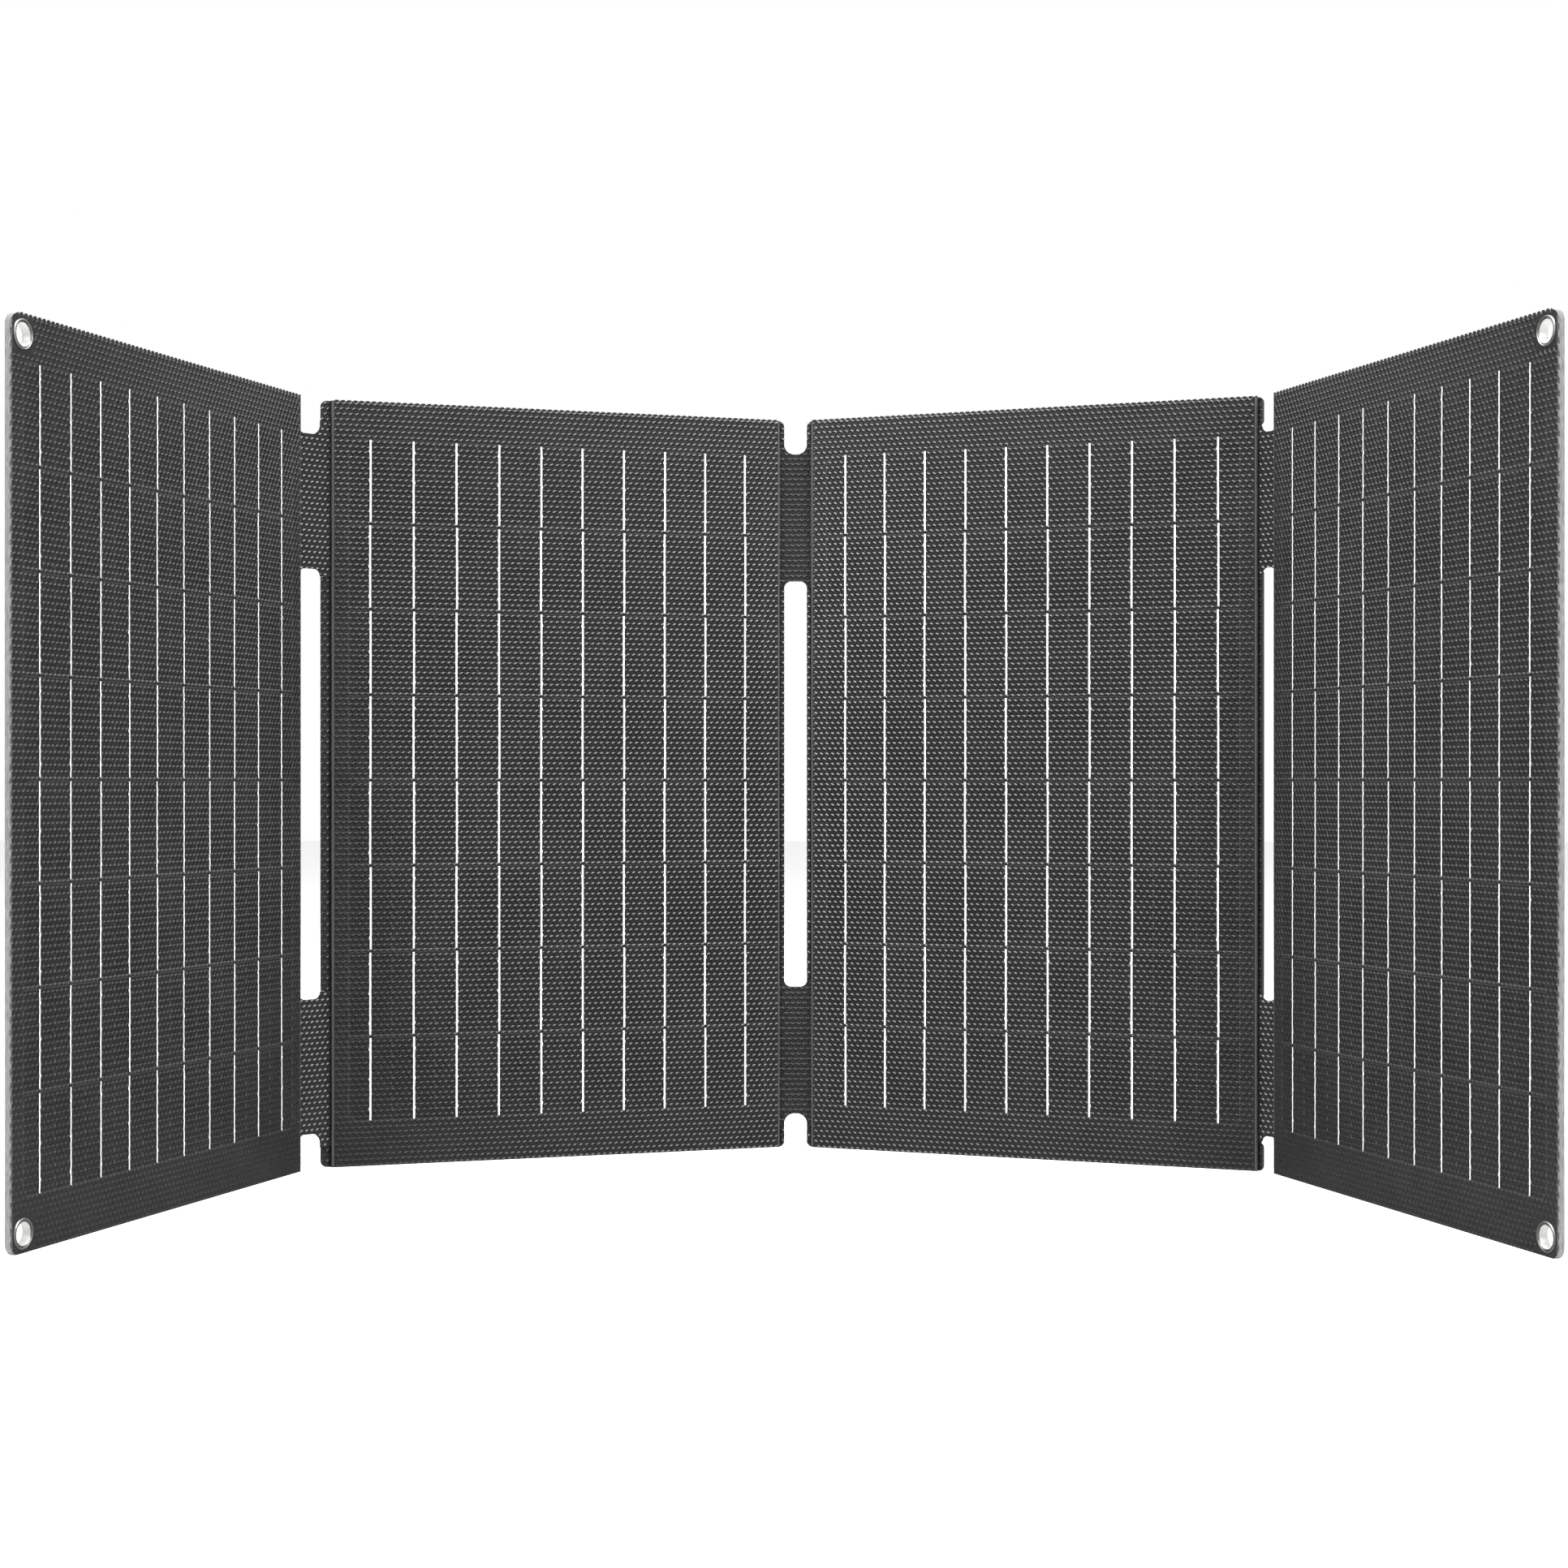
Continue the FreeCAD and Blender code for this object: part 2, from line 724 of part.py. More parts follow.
def chain_poses():
    """The placement of every panel and web in the standing pose, left to right.

    The middle web lies along X, and each fold is shared equally by its two fold lines.
    """
    half = [angle / 2 for angle in fold_rest_deg]
    panel_deg = [half[1] + 2 * half[0], half[1], -half[1], -half[1] - 2 * half[2]]
    web_deg = [panel_deg[i] - half[i] for i in range(panel_count - 1)]
    poses = {}
    left_line = V(-pivot_setback, pivot_y, 0)
    right_line = V(panel_width + pivot_setback, pivot_y, 0)
    for side in (-1, 1):
        line = V(side * web_length(1) / 2, 0, 0)
        folds = (1, 0) if side < 0 else (1, 2)
        for fold in folds:
            panel = fold if side < 0 else fold + 1
            if fold != 1:
                start = line + along(web_deg[fold], side * web_length(fold))
                origin = start if side < 0 else line
                poses["web_%d" % (fold + 1)] = pose_of(origin.x, origin.y, web_deg[fold])
                line = start
            turn = FreeCAD.Rotation(V(0, 0, 1), panel_deg[panel])
            held = right_line if side < 0 else left_line
            base = line - turn.multVec(held)
            poses["panel_%d" % (panel + 1)] = pose_of(base.x, base.y, panel_deg[panel])
            far = left_line if side < 0 else right_line
            line = base + turn.multVec(far)
    poses["web_2"] = pose_of(-web_length(1) / 2, 0, 0)
    return poses


def panel_nodes(number):
    """Every node of one panel, in the panel's own frame."""
    nodes = {
        "backing_%d" % number: backing(number),
        "board_%d" % number: board(number),
        "encapsulant_%d" % number: encapsulant(number),
        "cells_%d" % number: cells(),
        "ribbons_%d" % number: ribbons(),
        "film_%d" % number: film(number),
    }
    if outer_x(number):
        nodes["eyelets_%d" % number] = eyelets(number)
        nodes["eyelet_washers_%d" % number] = eyelet_washers(number)
    return nodes


def web_nodes(number):
    """Every node of one fold's webs, from their left fold line."""
    fold = number - 1
    nodes = {"fold_jumpers_%d" % number: fold_jumpers(fold)}
    for place in ("upper", "lower"):
        upper = place == "upper"
        fabric = web_sheet(fold, board_back_y, back_y, upper)
        face = web_sheet(fold, web_face_y, web_film_back_y, upper)
        nodes["web_%d_%s_fabric" % (number, place)] = fabric.translate(V(0, -pivot_y, 0))
        nodes["web_%d_%s_film" % (number, place)] = face.translate(V(0, -pivot_y, 0))
    nodes["fold_jumpers_%d" % number].translate(V(0, -pivot_y, 0))
    return nodes


def output_box_nodes():
    """Every node of the output box, in the last panel's frame."""
    return {
        "box_base": box_base(),
        "box_lid": box_lid(),
        "lid_gasket": lid_gasket(),
        "lid_screws": lid_screws(),
        "circuit_board": circuit_board(),
        "circuit_parts": circuit_parts(),
        "output_tabs": output_tabs(),
        "dc_jack": dc_jack(),
        "usb_a_socket": socket_shell(1, usb_a_size),
        "usb_c_socket": socket_shell(2, usb_c_size),
        "status_lens": status_lens(),
        "cover_pin": cover_pin(),
    }


def body_nodes():
    """Every body with its nodes, in the body's own frame."""
    bodies = {}
    for number in range(1, panel_count + 1):
        bodies["panel_%d" % number] = panel_nodes(number)
    for number in range(1, panel_count):
        bodies["web_%d" % number] = web_nodes(number)
    bodies["panel_%d" % panel_count].update(output_box_nodes())
    bodies["port_cover"] = {"port_cover": port_cover()}
    return bodies


def assemble():
    """Every body's nodes in the standing pose, and the shift that centres the footprint."""
    bodies = body_nodes()
    poses = chain_poses()
    poses["port_cover"] = poses["panel_%d" % panel_count]
    box_all = FreeCAD.BoundBox()
    for body, nodes in bodies.items():
        for shape in nodes.values():
            shape.Placement = poses[body].multiply(shape.Placement)
            box_all.add(shape.optimalBoundingBox(True, False))
    shift = V(-box_all.Center.x, -box_all.Center.y, -box_all.ZMin)
    for nodes in bodies.values():
        for shape in nodes.values():
            shape.translate(shift)
    return bodies, poses, shift


def write_parts():
    """Write one STEP file per node."""
    os.makedirs("parts", exist_ok=True)
    bodies, _, _ = assemble()
    for nodes in bodies.values():
        for name, shape in nodes.items():
            shape.exportStep("parts/%s.step" % name)


write_parts()
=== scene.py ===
"""Folding solar blanket: embossed panels, busbars, soft fold webs, eyelets, output box and a plain stage."""

import json
import math
from functools import partial

import bmesh
import bpy
from bpy.props import FloatProperty, FloatVectorProperty, IntProperty, PointerProperty
from mathutils import Matrix, Vector


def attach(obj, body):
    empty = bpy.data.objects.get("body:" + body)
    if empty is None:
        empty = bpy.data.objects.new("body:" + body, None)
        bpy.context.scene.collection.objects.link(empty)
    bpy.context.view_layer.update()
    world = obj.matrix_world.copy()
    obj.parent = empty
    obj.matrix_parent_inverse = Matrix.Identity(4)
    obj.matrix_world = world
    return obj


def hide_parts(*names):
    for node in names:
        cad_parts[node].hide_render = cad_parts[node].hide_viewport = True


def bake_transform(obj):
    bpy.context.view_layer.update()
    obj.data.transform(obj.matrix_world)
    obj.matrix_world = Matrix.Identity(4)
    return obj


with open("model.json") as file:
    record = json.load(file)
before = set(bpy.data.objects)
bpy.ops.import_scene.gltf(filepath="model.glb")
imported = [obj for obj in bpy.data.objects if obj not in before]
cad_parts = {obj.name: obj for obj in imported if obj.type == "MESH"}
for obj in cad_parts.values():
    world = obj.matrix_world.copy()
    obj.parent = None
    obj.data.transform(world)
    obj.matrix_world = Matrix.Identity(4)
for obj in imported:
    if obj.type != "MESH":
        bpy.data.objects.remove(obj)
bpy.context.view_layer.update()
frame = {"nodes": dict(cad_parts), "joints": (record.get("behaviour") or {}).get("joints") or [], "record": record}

bl_info = {
    "name": "Folding Solar Blanket",
    "version": (1, 0, 0),
    "blender": (4, 5, 0),
    "location": "3D View > Sidebar > Solar Blanket",
    "description": "Builds the looks of a folding solar blanket on its packed frame",
    "category": "Add Mesh",
}

PANELS = (1, 2, 3, 4)
FOLDS = (1, 2, 3)
MM = 0.001

# millimetres
SEAM = 0.36             # beyond a board's edge, where its panel's film ends and a web's begins
BOTTOM_TRIM = 0.15      # the film ends this far above the ground
BEND_REACH = 0.85       # half the length over which a web bends at a fold line
NOTCH_INSET = 2.5       # a notch is this much narrower on each side than the space between two boards
WEB_FACE_LIFT = 0.12    # a web's film stands this far in front of its plain depth
WEB_MAP_SHIFT = 30.0    # puts a web's film on the cell-free side of the panel map
CLOTH_GAP = 0.02        # a web's cloth starts this far behind its plain depth
CLOTH_END = 0.1         # the cloth ends this far from the board
FILM_HOLE = 4.75        # radius of the film's hole under an eyelet's lip
PRESSED = 7.2           # half the width of the flat place round an eyelet
FINGER_PITCH = 1.25     # between the fine lines across a cell
DASH_PITCH = 4.5        # between the dashes halfway between two busbars
THREAD = 0.62           # width of a thread in the cloth
NUBS = (5.2, 17.5, 29.8)    # places of the nubs on a busbar, down from the top of its strip

# the embossed sheet, in pockets, and the row that reaches the top edge
SHEET_COLUMNS, SHEET_ROWS, TOP_ROW = 84, 148, 145


# ---------------------------------------------------------------- sizes and colours

class BlanketSizes(bpy.types.PropertyGroup):
    """Sizes of the panels and of what joins them."""

    panel_width: FloatProperty(
        name="Panel width", description="Width of one board, in millimetres", default=196.0)
    panel_height: FloatProperty(
        name="Panel height", description="Height of one board, in millimetres", default=320.0)
    outer_corner: FloatProperty(
        name="Outer corner", description="Corner radius of the outer boards", default=4.0)
    film_front: FloatProperty(
        name="Film front", description="Depth of the film's face in a panel", default=-1.2)
    film_back: FloatProperty(
        name="Film back", description="Depth of the film's back in a panel", default=-0.9)
    web_front: FloatProperty(name="Web front", description="Depth of a web film's face", default=0.36)
    web_film: FloatProperty(name="Web film", description="Thickness of a web's film", default=0.24)
    cloth_front: FloatProperty(
        name="Cloth front", description="Depth of the back cloth's inner side", default=0.7)
    cloth_back: FloatProperty(
        name="Cloth back", description="Depth of the back cloth's outer side", default=1.2)
    pivot_depth: FloatProperty(name="Fold line depth", description="Depth of the fold lines", default=0.75)
    setback: FloatProperty(
        name="Fold line setback", description="Distance from a board to its fold line", default=1.1)
    notch_depth: FloatProperty(
        name="Notch depth", description="Depth of the round notch beyond a web", default=14.6)
    web_height: FloatProperty(name="Web height", description="Height of a web at its notch", default=56.0)
    window_corner: FloatProperty(
        name="Window corner", description="Corner radius of the fold windows", default=3.0)
    flange_corner: FloatProperty(
        name="Flange corner", description="Corner radius of a flange strip", default=2.6)


class BlanketEmboss(bpy.types.PropertyGroup):
    """The honeycomb pressed into the film."""

    pitch: FloatProperty(name="Pitch", description="Width of one pocket", default=2.59)
    rim: FloatProperty(name="Rim", description="Width of the slope round a pocket's floor", default=0.5)
    rise: FloatProperty(
        name="Rise", description="How far the ridges stand in front of the face", default=0.2)
    floor: FloatProperty(
        name="Floor", description="How far a pocket's floor lies behind the face", default=0.2)
    tooth: FloatProperty(
        name="Tooth", description="How far the trimmed pockets stand over the top edge", default=0.85)


class BlanketCells(bpy.types.PropertyGroup):
    """The cell strips and their busbars."""

    strips: IntProperty(name="Strips", description="Cell strips on one panel", default=8)
    strip_pitch: FloatProperty(name="Strip pitch", description="Distance between strips", default=35.8)
    strip_gap: FloatProperty(name="Strip gap", description="Space between strips", default=0.8)
    top_margin: FloatProperty(
        name="Top margin", description="Distance from the top edge to the first strip", default=15.6)
    width: FloatProperty(name="Cell width", description="Width of a strip", default=182.0)
    chamfer: FloatProperty(name="Cell chamfer", description="Cut corner of a wafer", default=3.4)
    busbars: IntProperty(name="Busbars", description="Busbars on one strip", default=10)
    busbar_width: FloatProperty(name="Busbar width", description="Width of a busbar", default=0.8)
    busbar_end: FloatProperty(name="Busbar end", description="Space beyond a busbar's end", default=0.3)
    waver: FloatProperty(
        name="Waver", description="How far a busbar wanders from a straight line", default=0.03)


class BlanketColours(bpy.types.PropertyGroup):
    """Colours of the finishes."""

    film: FloatVectorProperty(
        name="Film", description="Film over the margins", subtype="COLOR", default=(0.018, 0.018, 0.019))
    cell: FloatVectorProperty(
        name="Cell", description="Film over the cells", subtype="COLOR", default=(0.013, 0.013, 0.0135))
    line: FloatVectorProperty(
        name="Cell line", description="Fine lines of the cells", subtype="COLOR", default=(0.09, 0.09, 0.095))
    busbar: FloatVectorProperty(
        name="Busbar", description="Printed busbars", subtype="COLOR", default=(0.95, 0.95, 0.95))
    cloth: FloatVectorProperty(
        name="Cloth", description="Woven back", subtype="COLOR", default=(0.02, 0.02, 0.021))
    board: FloatVectorProperty(
        name="Board edge", description="Sawn glass-fibre edge", subtype="COLOR", default=(0.23, 0.23, 0.226))
    nickel: FloatVectorProperty(
        name="Nickel", description="Plated eyelets", subtype="COLOR", default=(0.62, 0.615, 0.60))
    shell: FloatVectorProperty(
        name="Box", description="Moulded output box", subtype="COLOR", default=(0.022, 0.022, 0.023))
    rubber: FloatVectorProperty(
        name="Rubber", description="Cover and gasket", subtype="COLOR", default=(0.014, 0.014, 0.014))


def sizes():
    """The sizes of the panels."""
    return bpy.context.scene.blanket_sizes


def emboss():
    """The sizes of the film's pockets."""
    return bpy.context.scene.blanket_emboss


def strips():
    """The sizes of the cells and busbars."""
    return bpy.context.scene.blanket_cells


def colours():
    """The colours of the finishes."""
    return bpy.context.scene.blanket_colours


# ---------------------------------------------------------------- where each panel and web is

def mount_records(start):
    """The frame's mounts whose names begin with the given words."""
    return [m for m in frame["record"]["mounts"] if m["name"].startswith(start)]


def joint(name):
    """A joint's place in the standing pose, in millimetres."""
    for j in frame["joints"]:
        if j["name"] == name:
            return Vector(j["pos_m"]) / MM
    raise KeyError(name)


def frame_from(origin, across):
    """The matrix from a piece's own millimetres to the row's metres."""
    across = Vector((across.x, across.y, 0)).normalized()
    depth = Vector((-across.y, across.x, 0))
    origin = Vector((origin.x, origin.y, 0))
    turn = Matrix((across, depth, Vector((0, 0, 1)))).transposed().to_4x4()
    return Matrix.Scale(MM, 4) @ Matrix.Translation(origin) @ turn


def across_of(matrix):
    """The direction of a frame's own across."""
    return (matrix.to_3x3() @ Vector((1, 0, 0))).normalized()


def fold_ends(fold):
    """The two fold lines of a web, from left to right."""
    ends = [joint("fold_%d_inner" % fold), joint("fold_%d_outer" % fold)]
    return sorted(ends, key=lambda p: p.x)


def web_frame(fold):
    """A web's own frame, from its left fold line."""
    left, right = fold_ends(fold)
    across = (right - left).normalized()
    depth = Vector((-across.y, across.x, 0))
    return frame_from(left - depth * sizes().pivot_depth, across)


def aimed(place, direction):
    """The matrix of a lamp or a camera at a place, facing one way."""
    return Matrix.Translation(place) @ direction.to_track_quat("-Z", "Y").to_matrix().to_4x4()


def web_length(fold):
    """The distance between a web's two fold lines."""
    left, right = fold_ends(fold)
    return Vector((right.x - left.x, right.y - left.y)).length


def panel_frame(number):
    """A panel's own frame, from its lower left corner."""
    s = sizes()
    if number in (2, 3):
        left, right = fold_ends(number - 1)[1], fold_ends(number)[0]
        across = right - left
        across.z = 0
        across.normalize()
    else:
        side = "left" if number == 1 else "right"
        axis = Vector(mount_records("eyelet_%s_upper" % side)[0]["axis"])
        across = Vector((-axis.y, axis.x, 0))
    depth = Vector((-across.y, across.x, 0))
    if number == 1:
        origin = fold_ends(1)[0] - across * (s.panel_width + s.setback)
    else:
        origin = fold_ends(number - 1)[1] + across * s.setback
    return frame_from(origin - depth * s.pivot_depth, across)


def turn_between(start, end):
    """The signed turn from one frame's across direction to another's, seen from above."""
    a, b = across_of(start), across_of(end)
    return math.atan2(a.x * b.y - a.y * b.x, a.x * b.x + a.y * b.y)


def eyelet_places(number):
    """The eyelets' centres in their panel's own millimetres."""
    if number not in (1, 4):
        return []
    side = "left" if number == 1 else "right"
    back = panel_frame(number).inverted()
    found = [back @ Vector(m["pos_m"]) for m in mount_records("eyelet_%s" % side)]
    return [Vector((p.x, 0, p.z)) for p in found]


# flange strips beside the boards: panel, side, fold, width in millimetres
FLANGES = ((1, 1, 1, 1.2), (2, -1, 1, 4.4), (2, 1, 2, 2.5), (3, -1, 2, 2.5), (3, 1, 3, 1.6), (4, -1, 3, 1.2))
# how far from its fold line a web's edge lies, over the same distance of the flange strip's edge, left and right
FORESHORTENING = {1: (1.0, 1.2), 2: (1.0, 1.0), 3: (1.3, 1.0)}
# corner radii of the notch beside each web, left and right
NOTCH_CORNERS = {1: (2.4, 4.4), 2: (4.6, 4.6), 3: (2.8, 2.2)}


def flange_width(number, side):
    """The width of the flange strip on one side of a panel, or nothing."""
    for panel, where, fold, width in FLANGES:
        if (panel, where) == (number, side):
            return width
    return 0.0


def window_span():
    """The bottom and the top of the windows between the webs."""
    s = sizes()
    high = s.panel_height - s.notch_depth - s.web_height
    return s.panel_height - high, high


def notch_radius(fold):
    """Half the width of the notch beyond a web."""
    return (web_length(fold) + 2 * sizes().setback) / 2 - NOTCH_INSET


def web_top(fold):
    """The top of the upper web's ears."""
    s = sizes()
    return s.panel_height - s.notch_depth + notch_radius(fold)


# ---------------------------------------------------------------- materials

def new_material(name):
    """A new material with its node tree and its shader."""
    material = bpy.data.materials.new(name)
    material.use_nodes = True
    tree = material.node_tree
    shader = tree.nodes["Principled BSDF"]
    return material, tree, shader


def add(tree, kind, **values):
    """A new node with some of its settings."""
    node = tree.nodes.new(kind)
    for key, value in values.items():
        setattr(node, key, value)
    return node


def maths(tree, operation, first, second=None):
    """A sum on sockets or numbers."""
    node = add(tree, "ShaderNodeMath", operation=operation)
    for socket, value in zip(node.inputs, (first, second)):
        if value is None:
            continue
        if isinstance(value, (int, float)):
            socket.default_value = value
        else:
            tree.links.new(value, socket)
    return node.outputs[0]


def ramp(tree, value, low, high, start=0.0, end=1.0):
    """A smooth step of a value from low to high."""
    node = add(tree, "ShaderNodeMapRange", interpolation_type="SMOOTHSTEP")
    tree.links.new(value, node.inputs["Value"])
    for name, number in (("From Min", low), ("From Max", high), ("To Min", start), ("To Max", end)):
        node.inputs[name].default_value = number
    return node.outputs["Result"]


def mix_colour(tree, factor, first, second):
    """Two colours mixed, each a socket or a plain colour."""
    node = add(tree, "ShaderNodeMix", data_type="RGBA")
    sockets = (node.inputs[0], node.inputs[6], node.inputs[7])
    for socket, value in zip(sockets, (factor, first, second)):
        if isinstance(value, bpy.types.NodeSocket):
            tree.links.new(value, socket)
        elif isinstance(value, (int, float)):
            socket.default_value = value
        else:
            socket.default_value = (value[0], value[1], value[2], 1.0)
    return node.outputs[2]


def panel_axes(tree):
    """A panel's own across and up, in millimetres, from the piece's UV map."""
    source = add(tree, "ShaderNodeUVMap", uv_map="panel")
    split = add(tree, "ShaderNodeSeparateXYZ")
    tree.links.new(source.outputs[0], split.inputs[0])
    across = maths(tree, "MULTIPLY", split.outputs[0], 1000.0)
    up = maths(tree, "MULTIPLY", split.outputs[1], 1000.0)
    return across, up


def object_axes(tree):
    """A place in the row, in metres."""
    return add(tree, "ShaderNodeTexCoord").outputs["Object"]


def flat_place(tree, across, up):
    """One vector of two measures."""
    node = add(tree, "ShaderNodeCombineXYZ")
    tree.links.new(across, node.inputs[0])
    tree.links.new(up, node.inputs[1])
    return node.outputs[0]


def shade(colour, factor):
    """A colour made darker or lighter."""
    return tuple(v * factor for v in colour)


def noise(tree, vector, scale, detail=3.0, roughness=0.5):
    """Noise at a place."""
    node = add(tree, "ShaderNodeTexNoise")
    node.inputs["Scale"].default_value = scale
    node.inputs["Detail"].default_value = detail
    node.inputs["Roughness"].default_value = roughness
    tree.links.new(vector, node.inputs["Vector"])
    return node.outputs["Fac"]


def bump(tree, height, distance, strength=1.0):
    """The normal of a bumped surface."""
    node = add(tree, "ShaderNodeBump")
    node.inputs["Strength"].default_value = strength
    node.inputs["Distance"].default_value = distance
    tree.links.new(height, node.inputs["Height"])
    return node.outputs["Normal"]


def film_material():
    """Embossed clear film: dark margins, cells with fine finger lines, a light line round each cell, and a painted
    highlight and painted shadow along each fold shoulder.
    """
    s, c, k = sizes(), colours(), strips()
    material, tree, shader = new_material("embossed_film")
    calc, step = partial(maths, tree), partial(ramp, tree)
    x, z = panel_axes(tree)
    from_middle = calc("ABSOLUTE", calc("SUBTRACT", x, s.panel_width / 2))
    # strip number and place within the strip, from the top
    down = calc("DIVIDE", calc("SUBTRACT", s.panel_height - k.top_margin, z), k.strip_pitch)
    within = calc("MULTIPLY", calc("SUBTRACT", down, calc("FLOOR", down)), k.strip_pitch)
    half_strip = (k.strip_pitch - k.strip_gap) / 2
    from_side = calc("SUBTRACT", k.width / 2, from_middle)
    from_end = calc("SUBTRACT", half_strip, calc("ABSOLUTE", calc("SUBTRACT", within, half_strip)))
    inside_rows = calc("MULTIPLY", calc("GREATER_THAN", down, 0.0), calc("LESS_THAN", down, float(k.strips)))
    # wafer corners: cut at the top of strips 1 and 5 and at the bottom of strips 4 and 8
    half = calc("FRACT", calc("DIVIDE", down, k.strips / 2))
    nearer = calc("MINIMUM", half, calc("SUBTRACT", 1.0, half))
    to_wafer_end = calc("MULTIPLY", nearer, k.strip_pitch * k.strips / 2)
    corner = calc("SUBTRACT", calc("ADD", from_side, to_wafer_end), k.chamfer)
    edge = calc("MINIMUM", calc("MINIMUM", from_side, from_end), calc("MULTIPLY", corner, 0.7))
    in_cell = calc("MULTIPLY", inside_rows, step(edge, 0.0, 0.12))
    rim = calc("MULTIPLY", step(edge, -0.05, 0.08), step(edge, 0.3, 0.45, 1.0, 0.0))
    outline = calc("MULTIPLY", inside_rows, rim)
    finger = calc("SUBTRACT", calc("FRACT", calc("DIVIDE", z, FINGER_PITCH)), 0.5)
    finger = calc("MULTIPLY", step(calc("ABSOLUTE", finger), 0.0, 0.16, 1.0, 0.0), in_cell)
    # dashes halfway between the busbars
    beside = calc("FRACT", calc("DIVIDE", calc("SUBTRACT", x, s.panel_width / 2), k.width / k.busbars))
    near = calc("MINIMUM", beside, calc("SUBTRACT", 1.0, beside))
    dashed = calc("LESS_THAN", calc("FRACT", calc("DIVIDE", z, DASH_PITCH)), 0.42)
    dash = calc("MULTIPLY", calc("MULTIPLY", step(near, 0.008, 0.016, 1.0, 0.0), dashed), in_cell)
    place = flat_place(tree, x, z)
    cloud = noise(tree, place, 0.035, 2.0)
    grain = noise(tree, place, 2.4, 3.0)
    colour = mix_colour(tree, in_cell, c.film, c.cell)
    for mark, strength in ((outline, 0.35), (finger, 0.16), (dash, 0.5)):
        colour = mix_colour(tree, calc("MULTIPLY", mark, strength), colour, c.line)
    colour = mix_colour(tree, step(cloud, 0.3, 0.75, 0.0, 0.10), colour, (0.06, 0.06, 0.062))
    # painted highlight: a light line along a rounded shoulder; painted shadow: a near-black band in the hollow
    # beside it, at the foot of the board's step
    beyond = calc("SUBTRACT", from_middle, s.panel_width / 2)
    # light line along the shoulder's round: painted highlight
    line = calc("MULTIPLY", step(beyond, -0.95, -0.8), step(beyond, -0.35, -0.15, 1.0, 0.0))
    colour = mix_colour(tree, calc("MULTIPLY", line, 0.45), colour, (0.16, 0.16, 0.16))
    # near-black band in the hollow at the shoulder's foot: painted shadow of the board's step
    groove_shadow = calc("MULTIPLY", step(beyond, -0.15, 0.0), step(beyond, 0.9, 1.3, 1.0, 0.0))
    colour = mix_colour(tree, groove_shadow, colour, (0.002, 0.002, 0.002))
    tree.links.new(colour, shader.inputs["Base Color"])
    # rougher in the painted shadow band
    rough = calc("ADD", step(grain, 0.2, 0.8, 0.22, 0.34), calc("MULTIPLY", groove_shadow, 0.5))
    tree.links.new(rough, shader.inputs["Roughness"])
    shader.inputs["Specular IOR Level"].default_value = 0.5
    tree.links.new(bump(tree, grain, 0.00004, 0.5), shader.inputs["Normal"])
    return material


def edge_material():
    """Sawn glass-fibre laminate: light, with fine upright fibres and grey stains."""
    c = colours()
    material, tree, shader = new_material("sawn_laminate")
    place = object_axes(tree)
    stretch = add(tree, "ShaderNodeMapping")
    stretch.inputs["Scale"].default_value = (1.0, 1.0, 0.12)
    tree.links.new(place, stretch.inputs["Vector"])
    fibre = noise(tree, stretch.outputs["Vector"], 2600.0, 4.0, 0.65)
    stain = noise(tree, place, 160.0, 3.0)
    light = tuple(v * factor for v, factor in zip(c.board, (1.3, 1.3, 1.29)))
    colour = mix_colour(tree, ramp(tree, fibre, 0.3, 0.75), shade(c.board, 0.6), light)
    colour = mix_colour(tree, ramp(tree, stain, 0.45, 0.8, 0.0, 0.5), colour, (0.22, 0.22, 0.22))
    tree.links.new(colour, shader.inputs["Base Color"])
    shader.inputs["Roughness"].default_value = 0.75
    tree.links.new(bump(tree, fibre, 0.0001, 0.7), shader.inputs["Normal"])
    return material


def busbar_material():
    """Printed silver with a fine grain."""
    c = colours()
    material, tree, shader = new_material("printed_silver")
    place = object_axes(tree)
    grain = noise(tree, place, 900.0, 2.0)
    tree.links.new(mix_colour(tree, grain, shade(c.busbar, 0.86), c.busbar), shader.inputs["Base Color"])
    tree.links.new(ramp(tree, grain, 0.2, 0.8, 0.5, 0.7), shader.inputs["Roughness"])
    return material


def cloth_material(name, vector_of):
    """Plain-woven polyester: two thread directions with a fine bump and a soft sheen."""
    c = colours()
    material, tree, shader = new_material(name)
    calc = partial(maths, tree)
    across, up = vector_of(tree)
    a = calc("SINE", calc("MULTIPLY", across, math.pi / THREAD))
    b = calc("SINE", calc("MULTIPLY", up, math.pi / THREAD))
    # which of the two threads lies on top, and how high it stands there
    side = calc("GREATER_THAN", calc("MULTIPLY", a, b), 0.0)
    first = calc("MULTIPLY", calc("ABSOLUTE", a), side)
    second = calc("MULTIPLY", calc("ABSOLUTE", b), calc("SUBTRACT", 1.0, side))
    height = calc("ADD", first, second)
    place = flat_place(tree, across, up)
    fleck = noise(tree, place, 1.7, 3.0)
    cloud = noise(tree, place, 0.03, 2.0)
    # thread crowns lighter and the dips between threads darker: painted shade of the weave, added to its bump
    colour = mix_colour(tree, height, shade(c.cloth, 0.45), shade(c.cloth, 2.0))
    colour = mix_colour(tree, ramp(tree, fleck, 0.45, 0.8, 0.0, 0.4), colour, shade(c.cloth, 3.0))
    colour = mix_colour(tree, ramp(tree, cloud, 0.35, 0.7, 0.0, 0.25), colour, shade(c.cloth, 2.4))
    tree.links.new(colour, shader.inputs["Base Color"])
    tree.links.new(ramp(tree, fleck, 0.2, 0.8, 0.68, 0.88), shader.inputs["Roughness"])
    shader.inputs["Specular IOR Level"].default_value = 0.3
    shader.inputs["Sheen Weight"].default_value = 0.25
    shader.inputs["Sheen Roughness"].default_value = 0.5
    tree.links.new(bump(tree, height, 0.00012, 0.9), shader.inputs["Normal"])
    return material


